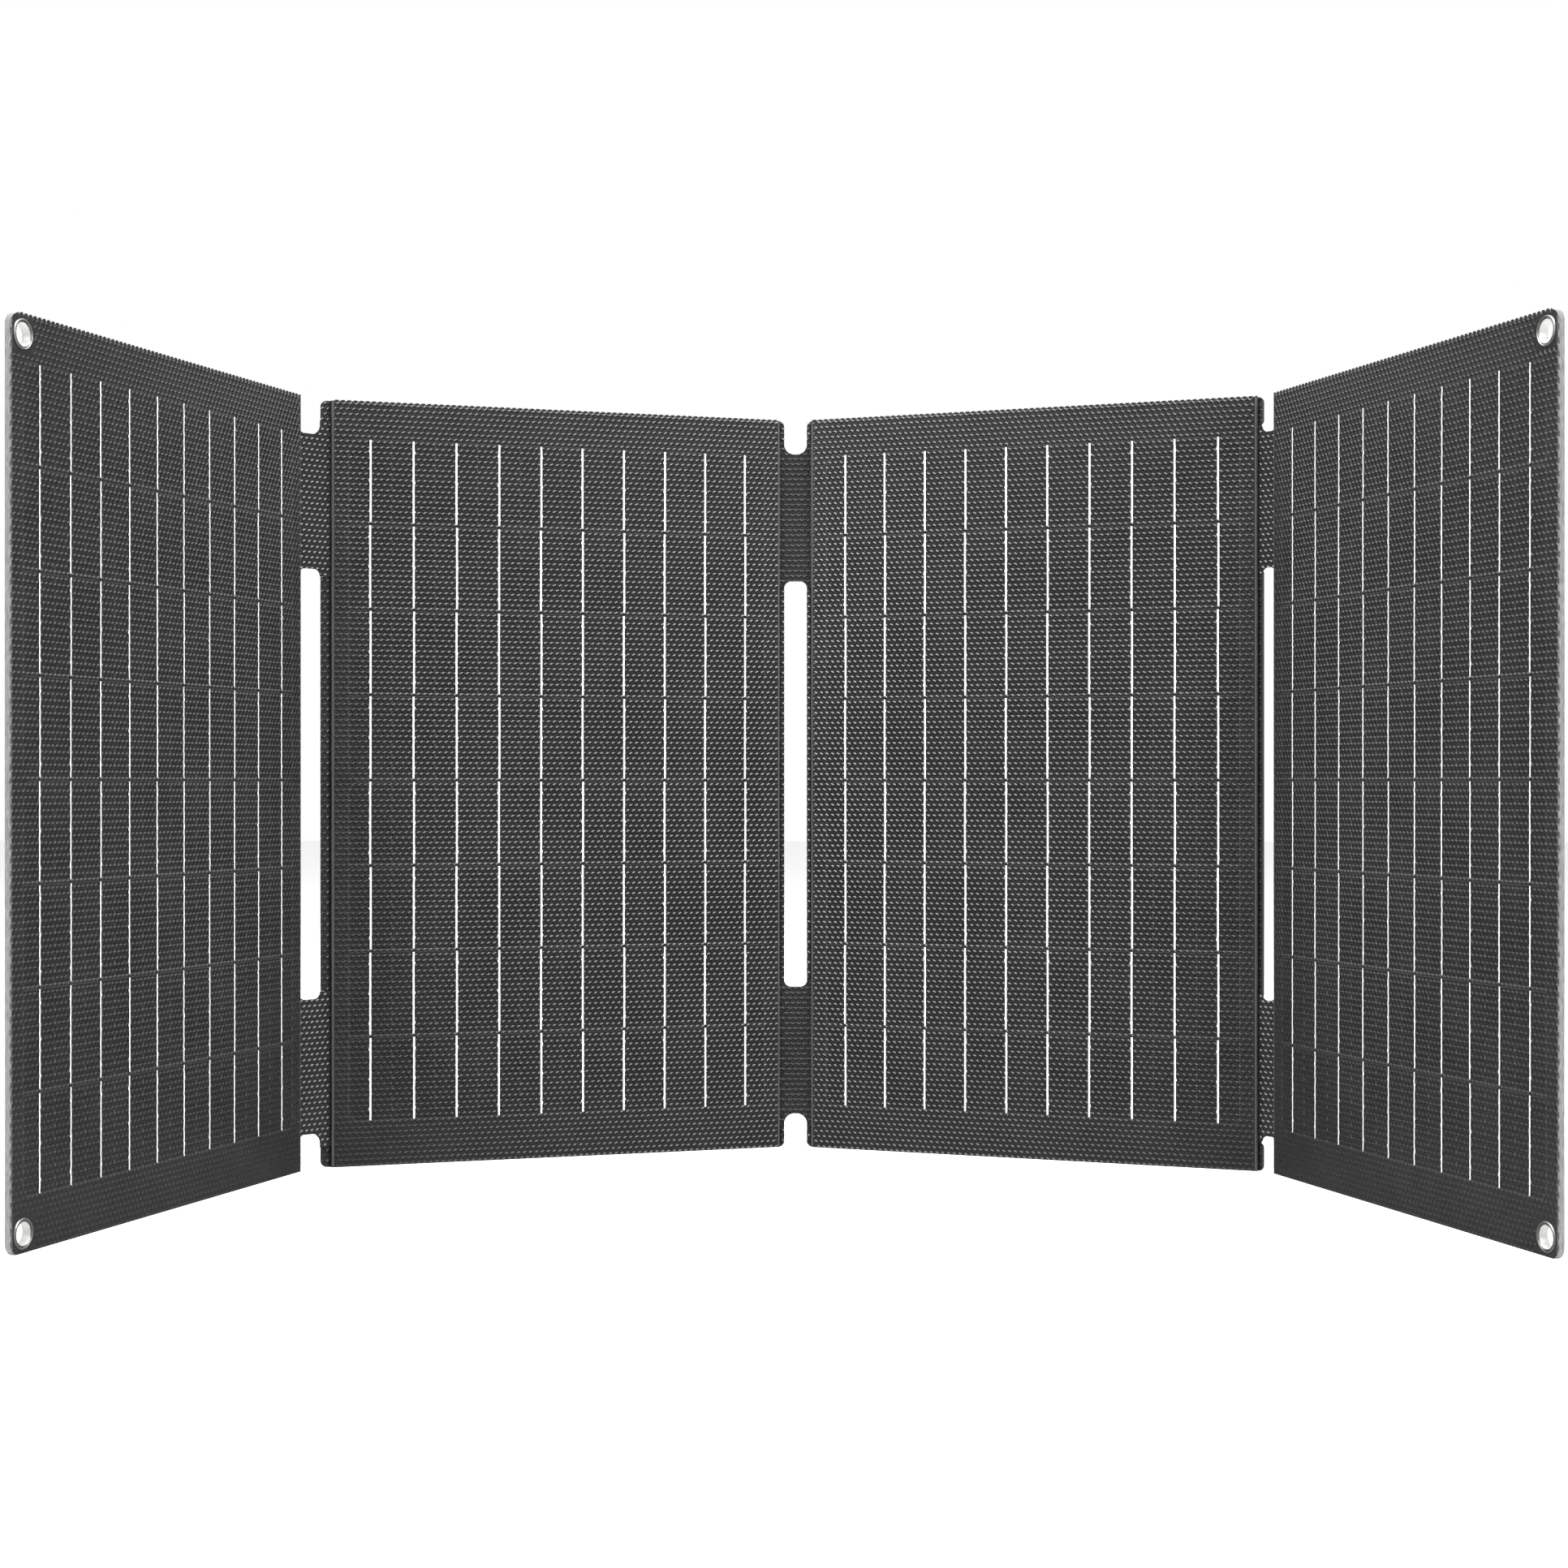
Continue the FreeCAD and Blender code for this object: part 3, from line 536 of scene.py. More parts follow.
def turned_axes(turn):
    """Across and up in millimetres from Object coordinates, turned to lie along a panel."""
    def axes(tree):
        source = add(tree, "ShaderNodeTexCoord")
        mapping = add(tree, "ShaderNodeMapping")
        mapping.inputs["Rotation"].default_value = (0, 0, -turn)
        mapping.inputs["Scale"].default_value = (1000, 1000, 1000)
        tree.links.new(source.outputs["Object"], mapping.inputs["Vector"])
        split = add(tree, "ShaderNodeSeparateXYZ")
        tree.links.new(mapping.outputs["Vector"], split.inputs[0])
        return split.outputs[0], split.outputs[2]
    return axes


def nickel_material(name, tone):
    """Nickel plate with soft smears; a tone under 1 makes a darker copy, painted shade for its grooves."""
    c = colours()
    material, tree, shader = new_material(name)
    place = object_axes(tree)
    smear = noise(tree, place, 420.0, 3.0)
    fine = noise(tree, place, 3200.0, 2.0)
    high = shade(c.nickel, tone)
    colour = mix_colour(tree, ramp(tree, smear, 0.3, 0.7), shade(high, 0.75), high)
    tree.links.new(colour, shader.inputs["Base Color"])
    shader.inputs["Metallic"].default_value = 1.0
    tree.links.new(ramp(tree, smear, 0.2, 0.8, 0.32, 0.44), shader.inputs["Roughness"])
    tree.links.new(bump(tree, fine, 0.00003, 0.35), shader.inputs["Normal"])
    return material


def moulded_material(name, colour, rough, grain_scale, depth, metallic=0.0, spread=0.35):
    """A moulded, plated or pressed finish with a fine grain and a little tone variation."""
    material, tree, shader = new_material(name)
    place = object_axes(tree)
    grain = noise(tree, place, grain_scale, 3.0, 0.6)
    cloud = noise(tree, place, 60.0, 2.0)
    low = shade(colour, 1 - spread)
    high = tuple(min(1.0, v) for v in shade(colour, 1 + spread))
    tree.links.new(mix_colour(tree, ramp(tree, cloud, 0.3, 0.7), low, high), shader.inputs["Base Color"])
    tree.links.new(ramp(tree, grain, 0.25, 0.75, rough - 0.08, rough + 0.08), shader.inputs["Roughness"])
    shader.inputs["Metallic"].default_value = metallic
    tree.links.new(bump(tree, grain, depth, 0.6), shader.inputs["Normal"])
    return material


def shared(name, maker, *values):
    """Makes a material once and then hands out the same one."""
    found = bpy.data.materials.get(name)
    return found if found is not None else maker(*values)


def film():
    """The film on every panel and web."""
    return shared("embossed_film", film_material)


def laminate():
    """The sawn edge of the boards."""
    return shared("sawn_laminate", edge_material)


def paint_node(name, *materials):
    """Gives a CAD node its materials."""
    node = frame["nodes"][name]
    node.data.materials.clear()
    for m in materials:
        node.data.materials.append(m)
    return node


# ---------------------------------------------------------------- mesh helpers

def smooth(low, high, value):
    """A smooth step of a number from low to high."""
    t = min(1.0, max(0.0, (value - low) / (high - low)))
    return t * t * (3 - 2 * t)


def repeat(bm, count, step):
    """Repeats everything in the mesh along a step, count times in all."""
    made = 1
    faces = len(bm.faces)
    while made < count:
        more = min(made, count - made)
        bm.faces.ensure_lookup_table()
        source = bm.faces[: faces * more]
        edges = {e for f in source for e in f.edges}
        verts = {v for f in source for v in f.verts}
        copy = bmesh.ops.duplicate(bm, geom=[*verts, *edges, *source])
        moved = [v for v in copy["geom"] if isinstance(v, bmesh.types.BMVert)]
        bmesh.ops.translate(bm, verts=moved, vec=Vector(step) * made)
        made += more


def pocket_corner():
    """The distance from a pocket's middle to the corner of its rim."""
    return emboss().pitch / math.sqrt(3)


def pocket_reach():
    """The distance from a pocket's middle to the corner of its floor."""
    return pocket_corner() - emboss().rim * 2 / math.sqrt(3)


def honeycomb(columns, rows):
    """A sheet of pressed pockets, facing the viewer, with its lowest left pocket at the origin."""
    e = emboss()
    pitch, corner = e.pitch, pocket_corner()
    bm = bmesh.new()
    bmesh.ops.create_circle(bm, cap_ends=True, radius=corner, segments=6)
    bmesh.ops.rotate(bm, verts=bm.verts, matrix=Matrix.Rotation(math.pi / 2, 3, "X"))
    face = bm.faces[:][0]
    if face.normal.y > 0:
        bmesh.ops.reverse_faces(bm, faces=[face])
    bmesh.ops.translate(bm, verts=bm.verts, vec=(0, -e.rise, 0))
    bmesh.ops.inset_individual(bm, faces=[face], thickness=e.rim, use_even_offset=True)
    bmesh.ops.translate(bm, verts=face.verts, vec=(0, e.rise + e.floor, 0))
    second = bmesh.ops.duplicate(bm, geom=[*bm.verts, *bm.edges, *bm.faces])
    moved = [v for v in second["geom"] if isinstance(v, bmesh.types.BMVert)]
    bmesh.ops.translate(bm, verts=moved, vec=(pitch / 2, 0, corner * 1.5))
    repeat(bm, columns, (pitch, 0, 0))
    repeat(bm, (rows + 1) // 2, (0, 0, corner * 3))
    bmesh.ops.remove_doubles(bm, verts=bm.verts, dist=0.02)
    return bm


def cut(bm, at, outward, clear=True, near=None):
    """Cuts the mesh along a plane, and takes away what lies beyond it."""
    faces = bm.faces[:] if near is None else [f for f in bm.faces if near(f.calc_center_median())]
    geom = {*faces}
    for f in faces:
        geom.update(f.edges)
        geom.update(f.verts)
    bmesh.ops.bisect_plane(bm, geom=list(geom), dist=1e-5, plane_co=at, plane_no=outward, clear_outer=clear)


def round_cut(bm, centre, radius, start, end, steps, reach):
    """Scores an arc's chords into the mesh, about a centre in the panel's plane."""
    close = lambda p: abs(math.hypot(p.x - centre[0], p.z - centre[1]) - radius) < reach
    for i in range(steps):
        a = start + (end - start) * (i + 0.5) / steps
        out = Vector((math.cos(a), 0, math.sin(a)))
        at = Vector((centre[0], 0, centre[1])) + out * radius
        spread = abs(end - start) / steps * 0.75
        def near(p, a=a, spread=spread):
            away = math.atan2(p.z - centre[1], p.x - centre[0])
            return close(p) and abs(math.remainder(away - a, math.tau)) < spread + reach / radius * 0.6
        cut(bm, at, out, False, near)


def round_corner(bm, at, side, turn, radius, steps, reach):
    """Rounds a corner of the sheet that points sideways and up or down."""
    x, z = at
    round_cut(bm, at, radius, *quarter(side, turn), steps, reach)

    def beyond(p):
        return (p.x - x) * side > 0 and (p.z - z) * turn > 0 and math.hypot(p.x - x, p.z - z) > radius
    drop(bm, beyond)


def quarter(side, turn):
    """The start and end angles of the quarter round that points sideways and up or down."""
    start = math.pi if side < 0 else 0.0
    end = math.pi * 1.5 if side < 0 and turn < 0 else turn * math.pi / 2
    return start, end


def drop(bm, outside):
    """Takes away the faces whose middle lies outside."""
    gone = [f for f in bm.faces if outside(f.calc_center_median())]
    bmesh.ops.delete(bm, geom=gone, context="FACES")


def wall_back(bm, depth):
    """Draws the open edges back, so that the sheet shows its thickness."""
    rim = [e for e in bm.edges if e.is_boundary]
    made = bmesh.ops.extrude_edge_only(bm, edges=rim)
    verts = [v for v in made["geom"] if isinstance(v, bmesh.types.BMVert)]
    bmesh.ops.translate(bm, verts=verts, vec=(0, depth, 0))
    return [f for f in made["geom"] if isinstance(f, bmesh.types.BMFace)]


def map_panel(bm, shift=0.0, smooth_faces=False):
    """Writes each corner's place in its panel, in metres, to the mesh's UV map."""
    layer = bm.loops.layers.uv.new("panel")
    for face in bm.faces:
        face.smooth = smooth_faces
        for loop in face.loops:
            loop[layer].uv = ((loop.vert.co.x + shift) * MM, loop.vert.co.z * MM)


def finish_piece(bm, name, matrix, materials, smooth_faces=True):
    """Gives the mesh its panel map, puts it in its place and makes the object."""
    map_panel(bm, 0.0, smooth_faces)
    return object_of(bm, name, matrix, materials)


def object_of(bm, name, matrix, materials):
    """Makes the object of a mesh, with the matrix put into its vertices."""
    if matrix is not None:
        bmesh.ops.transform(bm, matrix=matrix, verts=bm.verts)
    mesh = bpy.data.meshes.new(name)
    bm.to_mesh(mesh)
    bm.free()
    for m in materials:
        mesh.materials.append(m)
    piece = bpy.data.objects.new(name, mesh)
    bpy.context.scene.collection.objects.link(piece)
    return piece


def shared_sheet():
    """The embossed sheet that all the film pieces are cut from."""
    found = bpy.data.meshes.get("embossed_sheet")
    if found is None:
        bm = honeycomb(SHEET_COLUMNS, SHEET_ROWS)
        found = bpy.data.meshes.new("embossed_sheet")
        bm.to_mesh(found)
        bm.free()
    return found


def sheet_copy(shift):
    """A copy of the embossed sheet whose rows reach the top edge in step."""
    s, e = sizes(), emboss()
    bm = bmesh.new()
    bm.from_mesh(shared_sheet())
    top_row = s.panel_height + e.tooth - pocket_reach() * 0.8
    lowest = top_row - TOP_ROW * pocket_corner() * 1.5
    bmesh.ops.translate(bm, verts=bm.verts, vec=(shift - 4 * e.pitch, 0, lowest))
    return bm


def trim_top(bm, tooth, plain):
    """Cuts the sheet back between the pockets of its last row, so that they stand as teeth."""
    s, e = sizes(), emboss()
    top = s.panel_height
    inner = pocket_reach()
    last = top + tooth - inner * 0.8
    drop(bm, lambda p: p.z > last + e.pitch * 0.62)
    cut(bm, (0, 0, top), (0, 0, 1), False, lambda p: p.z > top - e.pitch)
    gone = []
    for f in bm.faces:
        p = f.calc_center_median()
        if p.z < top:
            continue
        depths = [v.co.y for v in f.verts]
        floor = max(depths) - min(depths) < 0.02 and sum(depths) > 0
        if not floor or p.z > last + inner or plain(p):
            gone.append(f)
    bmesh.ops.delete(bm, geom=gone, context="FACES")
    for v in bm.verts:
        if v.co.z > top + tooth - 0.02:
            v.co.z = top + tooth


# ---------------------------------------------------------------- the pieces

class BLANKET_OT_film_faces(bpy.types.Operator):
    """Make the embossed front film of each panel, with its rounded fold shoulders and flange strips"""

    bl_idname = "blanket.film_faces"
    bl_label = "Film Faces"
    bl_options = {"REGISTER", "UNDO"}

    def execute(self, context):
        for number, shift in zip(PANELS, (0.0, 0.9, 0.3, 1.7)):
            self.face(number, shift)
        return {"FINISHED"}

    def face(self, number, shift):
        """One panel's film, with its emboss shifted sideways so that no two panels match."""
        s = sizes()
        wide, high = s.panel_width, s.panel_height
        left, right = flange_width(number, -1), flange_width(number, 1)
        bm = sheet_copy(shift)
        cut(bm, (-left, 0, 0), (-1, 0, 0))
        cut(bm, (wide + right, 0, 0), (1, 0, 0))
        cut(bm, (0, 0, BOTTOM_TRIM), (0, 0, -1))
        places = eyelet_places(number)
        tooth = emboss().tooth * (1.0 if number in (1, 4) else 0.5)
        trim_top(bm, tooth, lambda p: self.flatness(p, places) > 0.3 or not -0.1 <= p.x <= wide + 0.1)
        for side, width in ((-1, left), (1, right)):
            if width:
                self.flange(bm, number, side, width)
            else:
                self.outer_corners(bm, side)
        for p in places:
            self.hole(bm, p)
        self.shape(bm, number, places)
        walls = wall_back(bm, s.film_back - s.film_front + 0.1)
        for f in walls:
            p = f.calc_center_median()
            if (not left and p.x < s.outer_corner) or (not right and p.x > wide - s.outer_corner):
                f.material_index = 1
        piece = finish_piece(bm, "film_face_%d" % number, panel_frame(number), [film(), laminate()], False)
        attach(piece, "panel_%d" % number)
        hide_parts("film_%d" % number)

    def flatness(self, p, places):
        """How flat the emboss is pressed at a place: 1 round an eyelet, 0 in the open."""
        flat = 0.0
        for e in places:
            reach_x, reach_z = abs(p.x - e.x) / PRESSED, abs(p.z - e.z) / PRESSED
            flat = max(flat, 1 - smooth(0.8, 1.05, math.hypot(reach_x, reach_z)))
            if abs(p.z - e.z) < 7 and abs(p.x - e.x) < 7:
                flat = max(flat, 1 - smooth(0.75, 1.0, max(reach_x, reach_z)))
        return flat

    def outer_corners(self, bm, side):
        """Rounds the outer corners of an end panel."""
        s = sizes()
        r = s.outer_corner
        x = r if side < 0 else s.panel_width - r
        for z, turn in ((r + BOTTOM_TRIM, -1), (s.panel_height - r, 1)):
            round_corner(bm, (x, z), side, turn, r, 6, 2.4)

    def hole(self, bm, centre):
        """Opens the film under an eyelet's lip."""
        round_cut(bm, (centre.x, centre.z), FILM_HOLE, 0.0, math.tau, 14, 2.2)
        drop(bm, lambda p: math.hypot(p.x - centre.x, p.z - centre.z) < FILM_HOLE * 0.985)

    def flange(self, bm, number, side, width):
        """Scores the shoulder lines and trims the flange strip beside a fold."""
        s = sizes()
        edge = 0.0 if side < 0 else s.panel_width
        fold = number - 1 if side < 0 else number
        for u in (-1.0, -0.75, -0.5, -0.25, 0.0, 0.2, 0.4, 0.7):
            at = edge + side * u
            cut(bm, (at, 0, 0), (side, 0, 0), False, lambda p, at=at: abs(p.x - at) < 3.2)
        low, high = window_span()
        r = s.window_corner
        top = web_top(fold)
        spans = ((BOTTOM_TRIM, s.panel_height - top), (low + r, high - r), (top, s.panel_height))
        beyond = lambda p: (p.x - edge) * side > SEAM
        for z0, z1 in spans:
            for z in (z0, z1):
                cut(bm, (0, 0, z), (0, 0, 1), False, lambda p, z=z: beyond(p) and abs(p.z - z) < 3.2)
        drop(bm, lambda p: beyond(p) and not any(z0 < p.z < z1 for z0, z1 in spans))
        c = min(s.flange_corner, width)
        x = edge + side * (width - c)
        for z, turn in ((BOTTOM_TRIM + c, -1), (s.panel_height - c, 1)):
            round_corner(bm, (x, z), side, turn, c, 5, 2.0)

    def shape(self, bm, number, places):
        """Presses the emboss flat where it is flat, and rounds the face down over each fold shoulder."""
        s = sizes()
        wide = s.panel_width
        left, right = flange_width(number, -1), flange_width(number, 1)
        for v in bm.verts:
            x, relief = v.co.x, v.co.y
            keep = 1 - self.flatness(v.co, places)
            depth = s.film_front
            for side, width, u in ((-1, left, -x), (1, right, x - wide)):
                if not width or u < -2.2:
                    continue
                bead = smooth(-1.35, -1.0, u) * (1 - smooth(0.25, 0.8, u))
                keep *= 1 - bead
                fall = smooth(-0.42, 0.32, u)
                depth += (s.web_front - s.film_front) * fall - 0.13 * bead * (1 - fall)
                depth += 0.16 * smooth(0.0, 0.35, u) * (1 - smooth(0.5, 1.1, u))
            v.co.y = depth + relief * keep


class BLANKET_OT_busbars(bpy.types.Operator):
    """Make the printed busbars, with their small nubs, as fine strips that waver over the emboss"""

    bl_idname = "blanket.busbars"
    bl_label = "Busbars"
    bl_options = {"REGISTER", "UNDO"}

    def execute(self, context):
        for number in PANELS:
            self.bars(number)
        return {"FINISHED"}

    def bars(self, number):
        """All of one panel's busbars."""
        s, k, e = sizes(), strips(), emboss()
        pitch = k.width / k.busbars
        height = k.strip_pitch - k.strip_gap - 2 * k.busbar_end
        bm = bmesh.new()
        bmesh.ops.create_grid(bm, x_segments=1, y_segments=44, size=0.5)
        slim, waver = (0.8, k.waver * 2.5) if number in (1, 4) else (1.0, k.waver)
        bmesh.ops.scale(bm, verts=bm.verts, vec=(k.busbar_width * slim, height, 1))
        bmesh.ops.rotate(bm, verts=bm.verts, matrix=Matrix.Rotation(math.pi / 2, 3, "X"))
        first_x = s.panel_width / 2 - (k.busbars - 1) / 2 * k.width / k.busbars
        first_z = s.panel_height - k.top_margin - k.busbar_end - height / 2
        bmesh.ops.translate(bm, verts=bm.verts, vec=(first_x, 0, first_z))
        repeat(bm, k.busbars, (pitch, 0, 0))
        repeat(bm, k.strips, (0, 0, -k.strip_pitch))
        row = pocket_corner() * 1.5
        for v in bm.verts:
            x, z = v.co.x, v.co.z
            bar = round((x - first_x) / pitch)
            down = s.panel_height - k.top_margin - z
            strip = int(down / k.strip_pitch)
            side = 1 if x > first_x + bar * k.width / k.busbars else -1
            wave = 0.7 * math.sin(z / row * math.pi + bar * 1.3 + number)
            wave += 0.5 * math.sin(z / row * 0.61 * math.pi + bar * 2.1 + strip)
            jog = 0.12 * math.sin(strip * 2.4 + bar * 1.7 + number)
            x += waver * wave + jog
            nub = min(abs(down - strip * k.strip_pitch - place) for place in NUBS)
            lean = 1 if math.sin(bar * 2.7 + number * 1.9) > 0 else -1
            if side == lean and nub < 0.5:
                x += lean * 0.4
            v.co.x = x
            v.co.y = s.film_front - e.rise - 0.03 + 0.03 * math.cos(z / row * math.tau)
        if bm.faces[:][0].normal.y >= 0:
            bmesh.ops.reverse_faces(bm, faces=bm.faces)
        wall_back(bm, 0.05)
        silver = shared("printed_silver", busbar_material)
        piece = finish_piece(bm, "busbars_%d" % number, panel_frame(number), [silver])
        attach(piece, "panel_%d" % number)
        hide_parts("ribbons_%d" % number)


class BLANKET_OT_fold_webs(bpy.types.Operator):
    """Make the soft webs: embossed face and woven back, each in two halves that bend at a fold line"""

    bl_idname = "blanket.fold_webs"
    bl_label = "Fold Webs"
    bl_options = {"REGISTER", "UNDO"}

    def execute(self, context):
        for fold in FOLDS:
            for half in (0, 1):
                self.face(fold, half)
                self.back(fold, half)
        return {"FINISHED"}

    def window(self, fold):
        """The inner and outer limits of the window between the flanges, across the web."""
        s = sizes()
        length = web_length(fold)
        # seen from the front, the web runs away more steeply than the flange strips do
        left = (flange_width(fold, 1) - s.setback) * FORESHORTENING[fold][0]
        right = length - (flange_width(fold + 1, -1) - s.setback) * FORESHORTENING[fold][1]
        return left, right

    def outline(self, bm, fold):
        """Trims a flat sheet to the upper and lower webs, with round notches and window corners."""
        s = sizes()
        low, high = window_span()
        top = web_top(fold)
        left, right = self.window(fold)
        r = min(s.window_corner, (right - left) / 2 - 0.1)
        for z, outward in ((s.panel_height - top, -1), (top, 1)):
            cut(bm, (0, 0, z), (0, 0, outward))
        drop(bm, lambda p: low - r < p.z < high + r and low + 3.2 < p.z < high - 3.2)
        for z, turn in ((high - r, 1), (low + r, -1)):
            for x, out in ((left + r, -1), (right - r, 1)):
                round_cut(bm, (x, z), r, *quarter(out, turn), 6, 2.0)
            cut(bm, (0, 0, z), (0, 0, turn), False, lambda p, z=z: abs(p.z - z) < 3)
            cut(bm, (0, 0, z + turn * r), (0, 0, turn), False, lambda p, z=z: abs(p.z - z) < 6)
        for x in (left, right):
            cut(bm, (x, 0, 0), (1, 0, 0), False, lambda p: low - 1 < p.z < high + 1)

        def in_window(p):
            if not (low < p.z < high and left < p.x < right):
                return False
            x = max(left + r - p.x, p.x - right + r, 0.0)
            z = max(low + r - p.z, p.z - high + r, 0.0)
            return math.hypot(x, z) < r
        drop(bm, lambda p: in_window(p) or low + r - 0.05 < p.z < high - r + 0.05)
        for z, turn in ((top, 1), (s.panel_height - top, -1)):
            self.notch(bm, fold, z, turn)

    def notch(self, bm, fold, top, turn):
        """Opens the notch in a web's outer edge: a flat floor between two rounded corners."""
        left, right = self.window(fold)
        floor = top - turn * notch_radius(fold)
        sides = tuple(zip((left, right), (-1, 1), NOTCH_CORNERS[fold]))
        cut(bm, (0, 0, floor), (0, 0, turn), False, lambda p: abs(p.z - floor) < 3)
        for x, out, c in sides:
            round_cut(bm, (x - out * c, floor + turn * c), c, *quarter(out, -turn), 7, 2.0)
            cut(bm, (x, 0, 0), (1, 0, 0), False, lambda p: (p.z - floor) * turn > -1)

        def opened(p):
            for x, out, c in sides:
                across, deep = (p.x - x) * out + c, c - (p.z - floor) * turn
                if (p.x - x) * out > 0 or (across > 0 and deep > 0 and math.hypot(across, deep) > c):
                    return False
            return (p.z - floor) * turn > 0
        drop(bm, opened)

    def bend(self, bm, fold):
        """Bends the ends of the sheet round the two fold lines to meet the panels."""
        s = sizes()
        web = web_frame(fold)
        for at, panel, out in ((0.0, fold, -1), (web_length(fold), fold + 1, 1)):
            turn = turn_between(web, panel_frame(panel))
            for v in bm.verts:
                away = (v.co.x - at) * out
                if away < -BEND_REACH:
                    continue
                w = smooth(-BEND_REACH, BEND_REACH, away)
                c, n = math.cos(w * turn), math.sin(w * turn)
                x, y = v.co.x - at, v.co.y - s.pivot_depth
                v.co.x, v.co.y = at + x * c - y * n, s.pivot_depth + x * n + y * c

    def score(self, bm, fold):
        """Scores the lines across which each end of the sheet bends."""
        for at in (0.0, web_length(fold)):
            for u in (-0.6, -0.3, 0.0, 0.3, 0.6):
                cut(bm, (at + u, 0, 0), (1, 0, 0), False, lambda p, at=at: abs(p.x - at) < 3)

    def split(self, bm, fold, half):
        """Keeps one half of the web."""
        middle = web_length(fold) / 2
        cut(bm, (middle, 0, 0), (1 if half == 0 else -1, 0, 0))

    def attach(self, piece, fold, half):
        """Bakes the piece's placement into its vertices; the turn between the web and its panel is worked out but
        not used.
        """
        web = web_frame(fold)
        turn = turn_between(web, panel_frame(fold + half))
        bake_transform(piece)

    def face(self, fold, half):
        """One half of the webs' embossed film."""
        s = sizes()
        reach = s.setback - SEAM
        bm = sheet_copy(0.7 * fold)
        cut(bm, (-reach, 0, 0), (-1, 0, 0))
        cut(bm, (web_length(fold) + reach, 0, 0), (1, 0, 0))
        self.outline(bm, fold)
        self.score(bm, fold)
        self.split(bm, fold, half)
        bmesh.ops.translate(bm, verts=bm.verts, vec=(0, s.web_front - WEB_FACE_LIFT, 0))
        wall_back(bm, s.web_film)
        map_panel(bm, -WEB_MAP_SHIFT)
        self.bend(bm, fold)
        piece = object_of(bm, "web_%d_face_%s" % (fold, ("left", "right")[half]), web_frame(fold), [film()])
        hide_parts("web_%d_upper_film" % fold, "web_%d_lower_film" % fold)
        self.attach(piece, fold, half)

    def back(self, fold, half):
        """One half of the webs' woven cloth."""
        s = sizes()
        length = web_length(fold)
        reach = s.setback - CLOTH_END
        bm = bmesh.new()
        bmesh.ops.create_grid(bm, x_segments=18, y_segments=160, size=0.5)
        bmesh.ops.scale(bm, verts=bm.verts, vec=(length + 2 * reach, s.panel_height, 1))
        bmesh.ops.rotate(bm, verts=bm.verts, matrix=Matrix.Rotation(math.pi / 2, 3, "X"))
        bmesh.ops.translate(bm, verts=bm.verts, vec=(length / 2, 0, s.panel_height / 2))
        self.outline(bm, fold)
        self.score(bm, fold)
        self.split(bm, fold, half)
        bmesh.ops.translate(bm, verts=bm.verts, vec=(0, s.cloth_front + CLOTH_GAP, 0))
        raised = bmesh.ops.extrude_face_region(bm, geom=bm.faces[:], use_keep_orig=True)
        verts = [v for v in raised["geom"] if isinstance(v, bmesh.types.BMVert)]
        bmesh.ops.translate(bm, verts=verts, vec=(0, s.cloth_back - s.cloth_front - CLOTH_GAP, 0))
        bmesh.ops.recalc_face_normals(bm, faces=bm.faces)
        map_panel(bm)
        self.bend(bm, fold)
        cloth = shared("web_cloth", cloth_material, "web_cloth", panel_axes)
        piece = object_of(bm, "web_%d_back_%s" % (fold, ("left", "right")[half]), web_frame(fold), [cloth])
        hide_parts("web_%d_upper_fabric" % fold, "web_%d_lower_fabric" % fold)
        self.attach(piece, fold, half)


class BLANKET_OT_laminate(bpy.types.Operator):
    """Finish the boards, their sawn outer edges and the woven back"""

    bl_idname = "blanket.laminate"
    bl_label = "Boards and Back Cloth"
    bl_options = {"REGISTER", "UNDO"}

    def execute(self, context):
        clear = moulded_material("clear_encapsulant", (0.05, 0.05, 0.055), 0.3, 900.0, 0.00002)
        silicon = moulded_material("silicon", (0.025, 0.027, 0.034), 0.3, 700.0, 0.00001)
        tinned = moulded_material("tinned_copper", (0.72, 0.45, 0.3), 0.35, 900.0, 0.00002, 1.0, 0.15)
        for number in PANELS:
            across = across_of(panel_frame(number))
            turn = math.atan2(across.y, across.x)
            cloth = cloth_material("back_cloth_%d" % number, turned_axes(turn))
            paint_node("board_%d" % number, laminate())
            self.edges(paint_node("backing_%d" % number, cloth, laminate()), number)
            self.edges(paint_node("encapsulant_%d" % number, clear, laminate()), number)
            paint_node("cells_%d" % number, silicon)
        for fold in FOLDS:
            paint_node("fold_jumpers_%d" % fold, tinned)
        return {"FINISHED"}

    def edges(self, node, number):
        """Gives the light laminate to the faces that look out at an end panel's free side."""
        if number not in (1, 4):
            return
        s = sizes()
        back = panel_frame(number).inverted()
        across = across_of(panel_frame(number))
        out = -across if number == 1 else across
        for polygon in node.data.polygons:
            centre = back @ polygon.center
            outer = centre.x < s.outer_corner if number == 1 else centre.x > s.panel_width - s.outer_corner
            if outer and polygon.normal.dot(out) > 0.3:
                polygon.material_index = 1


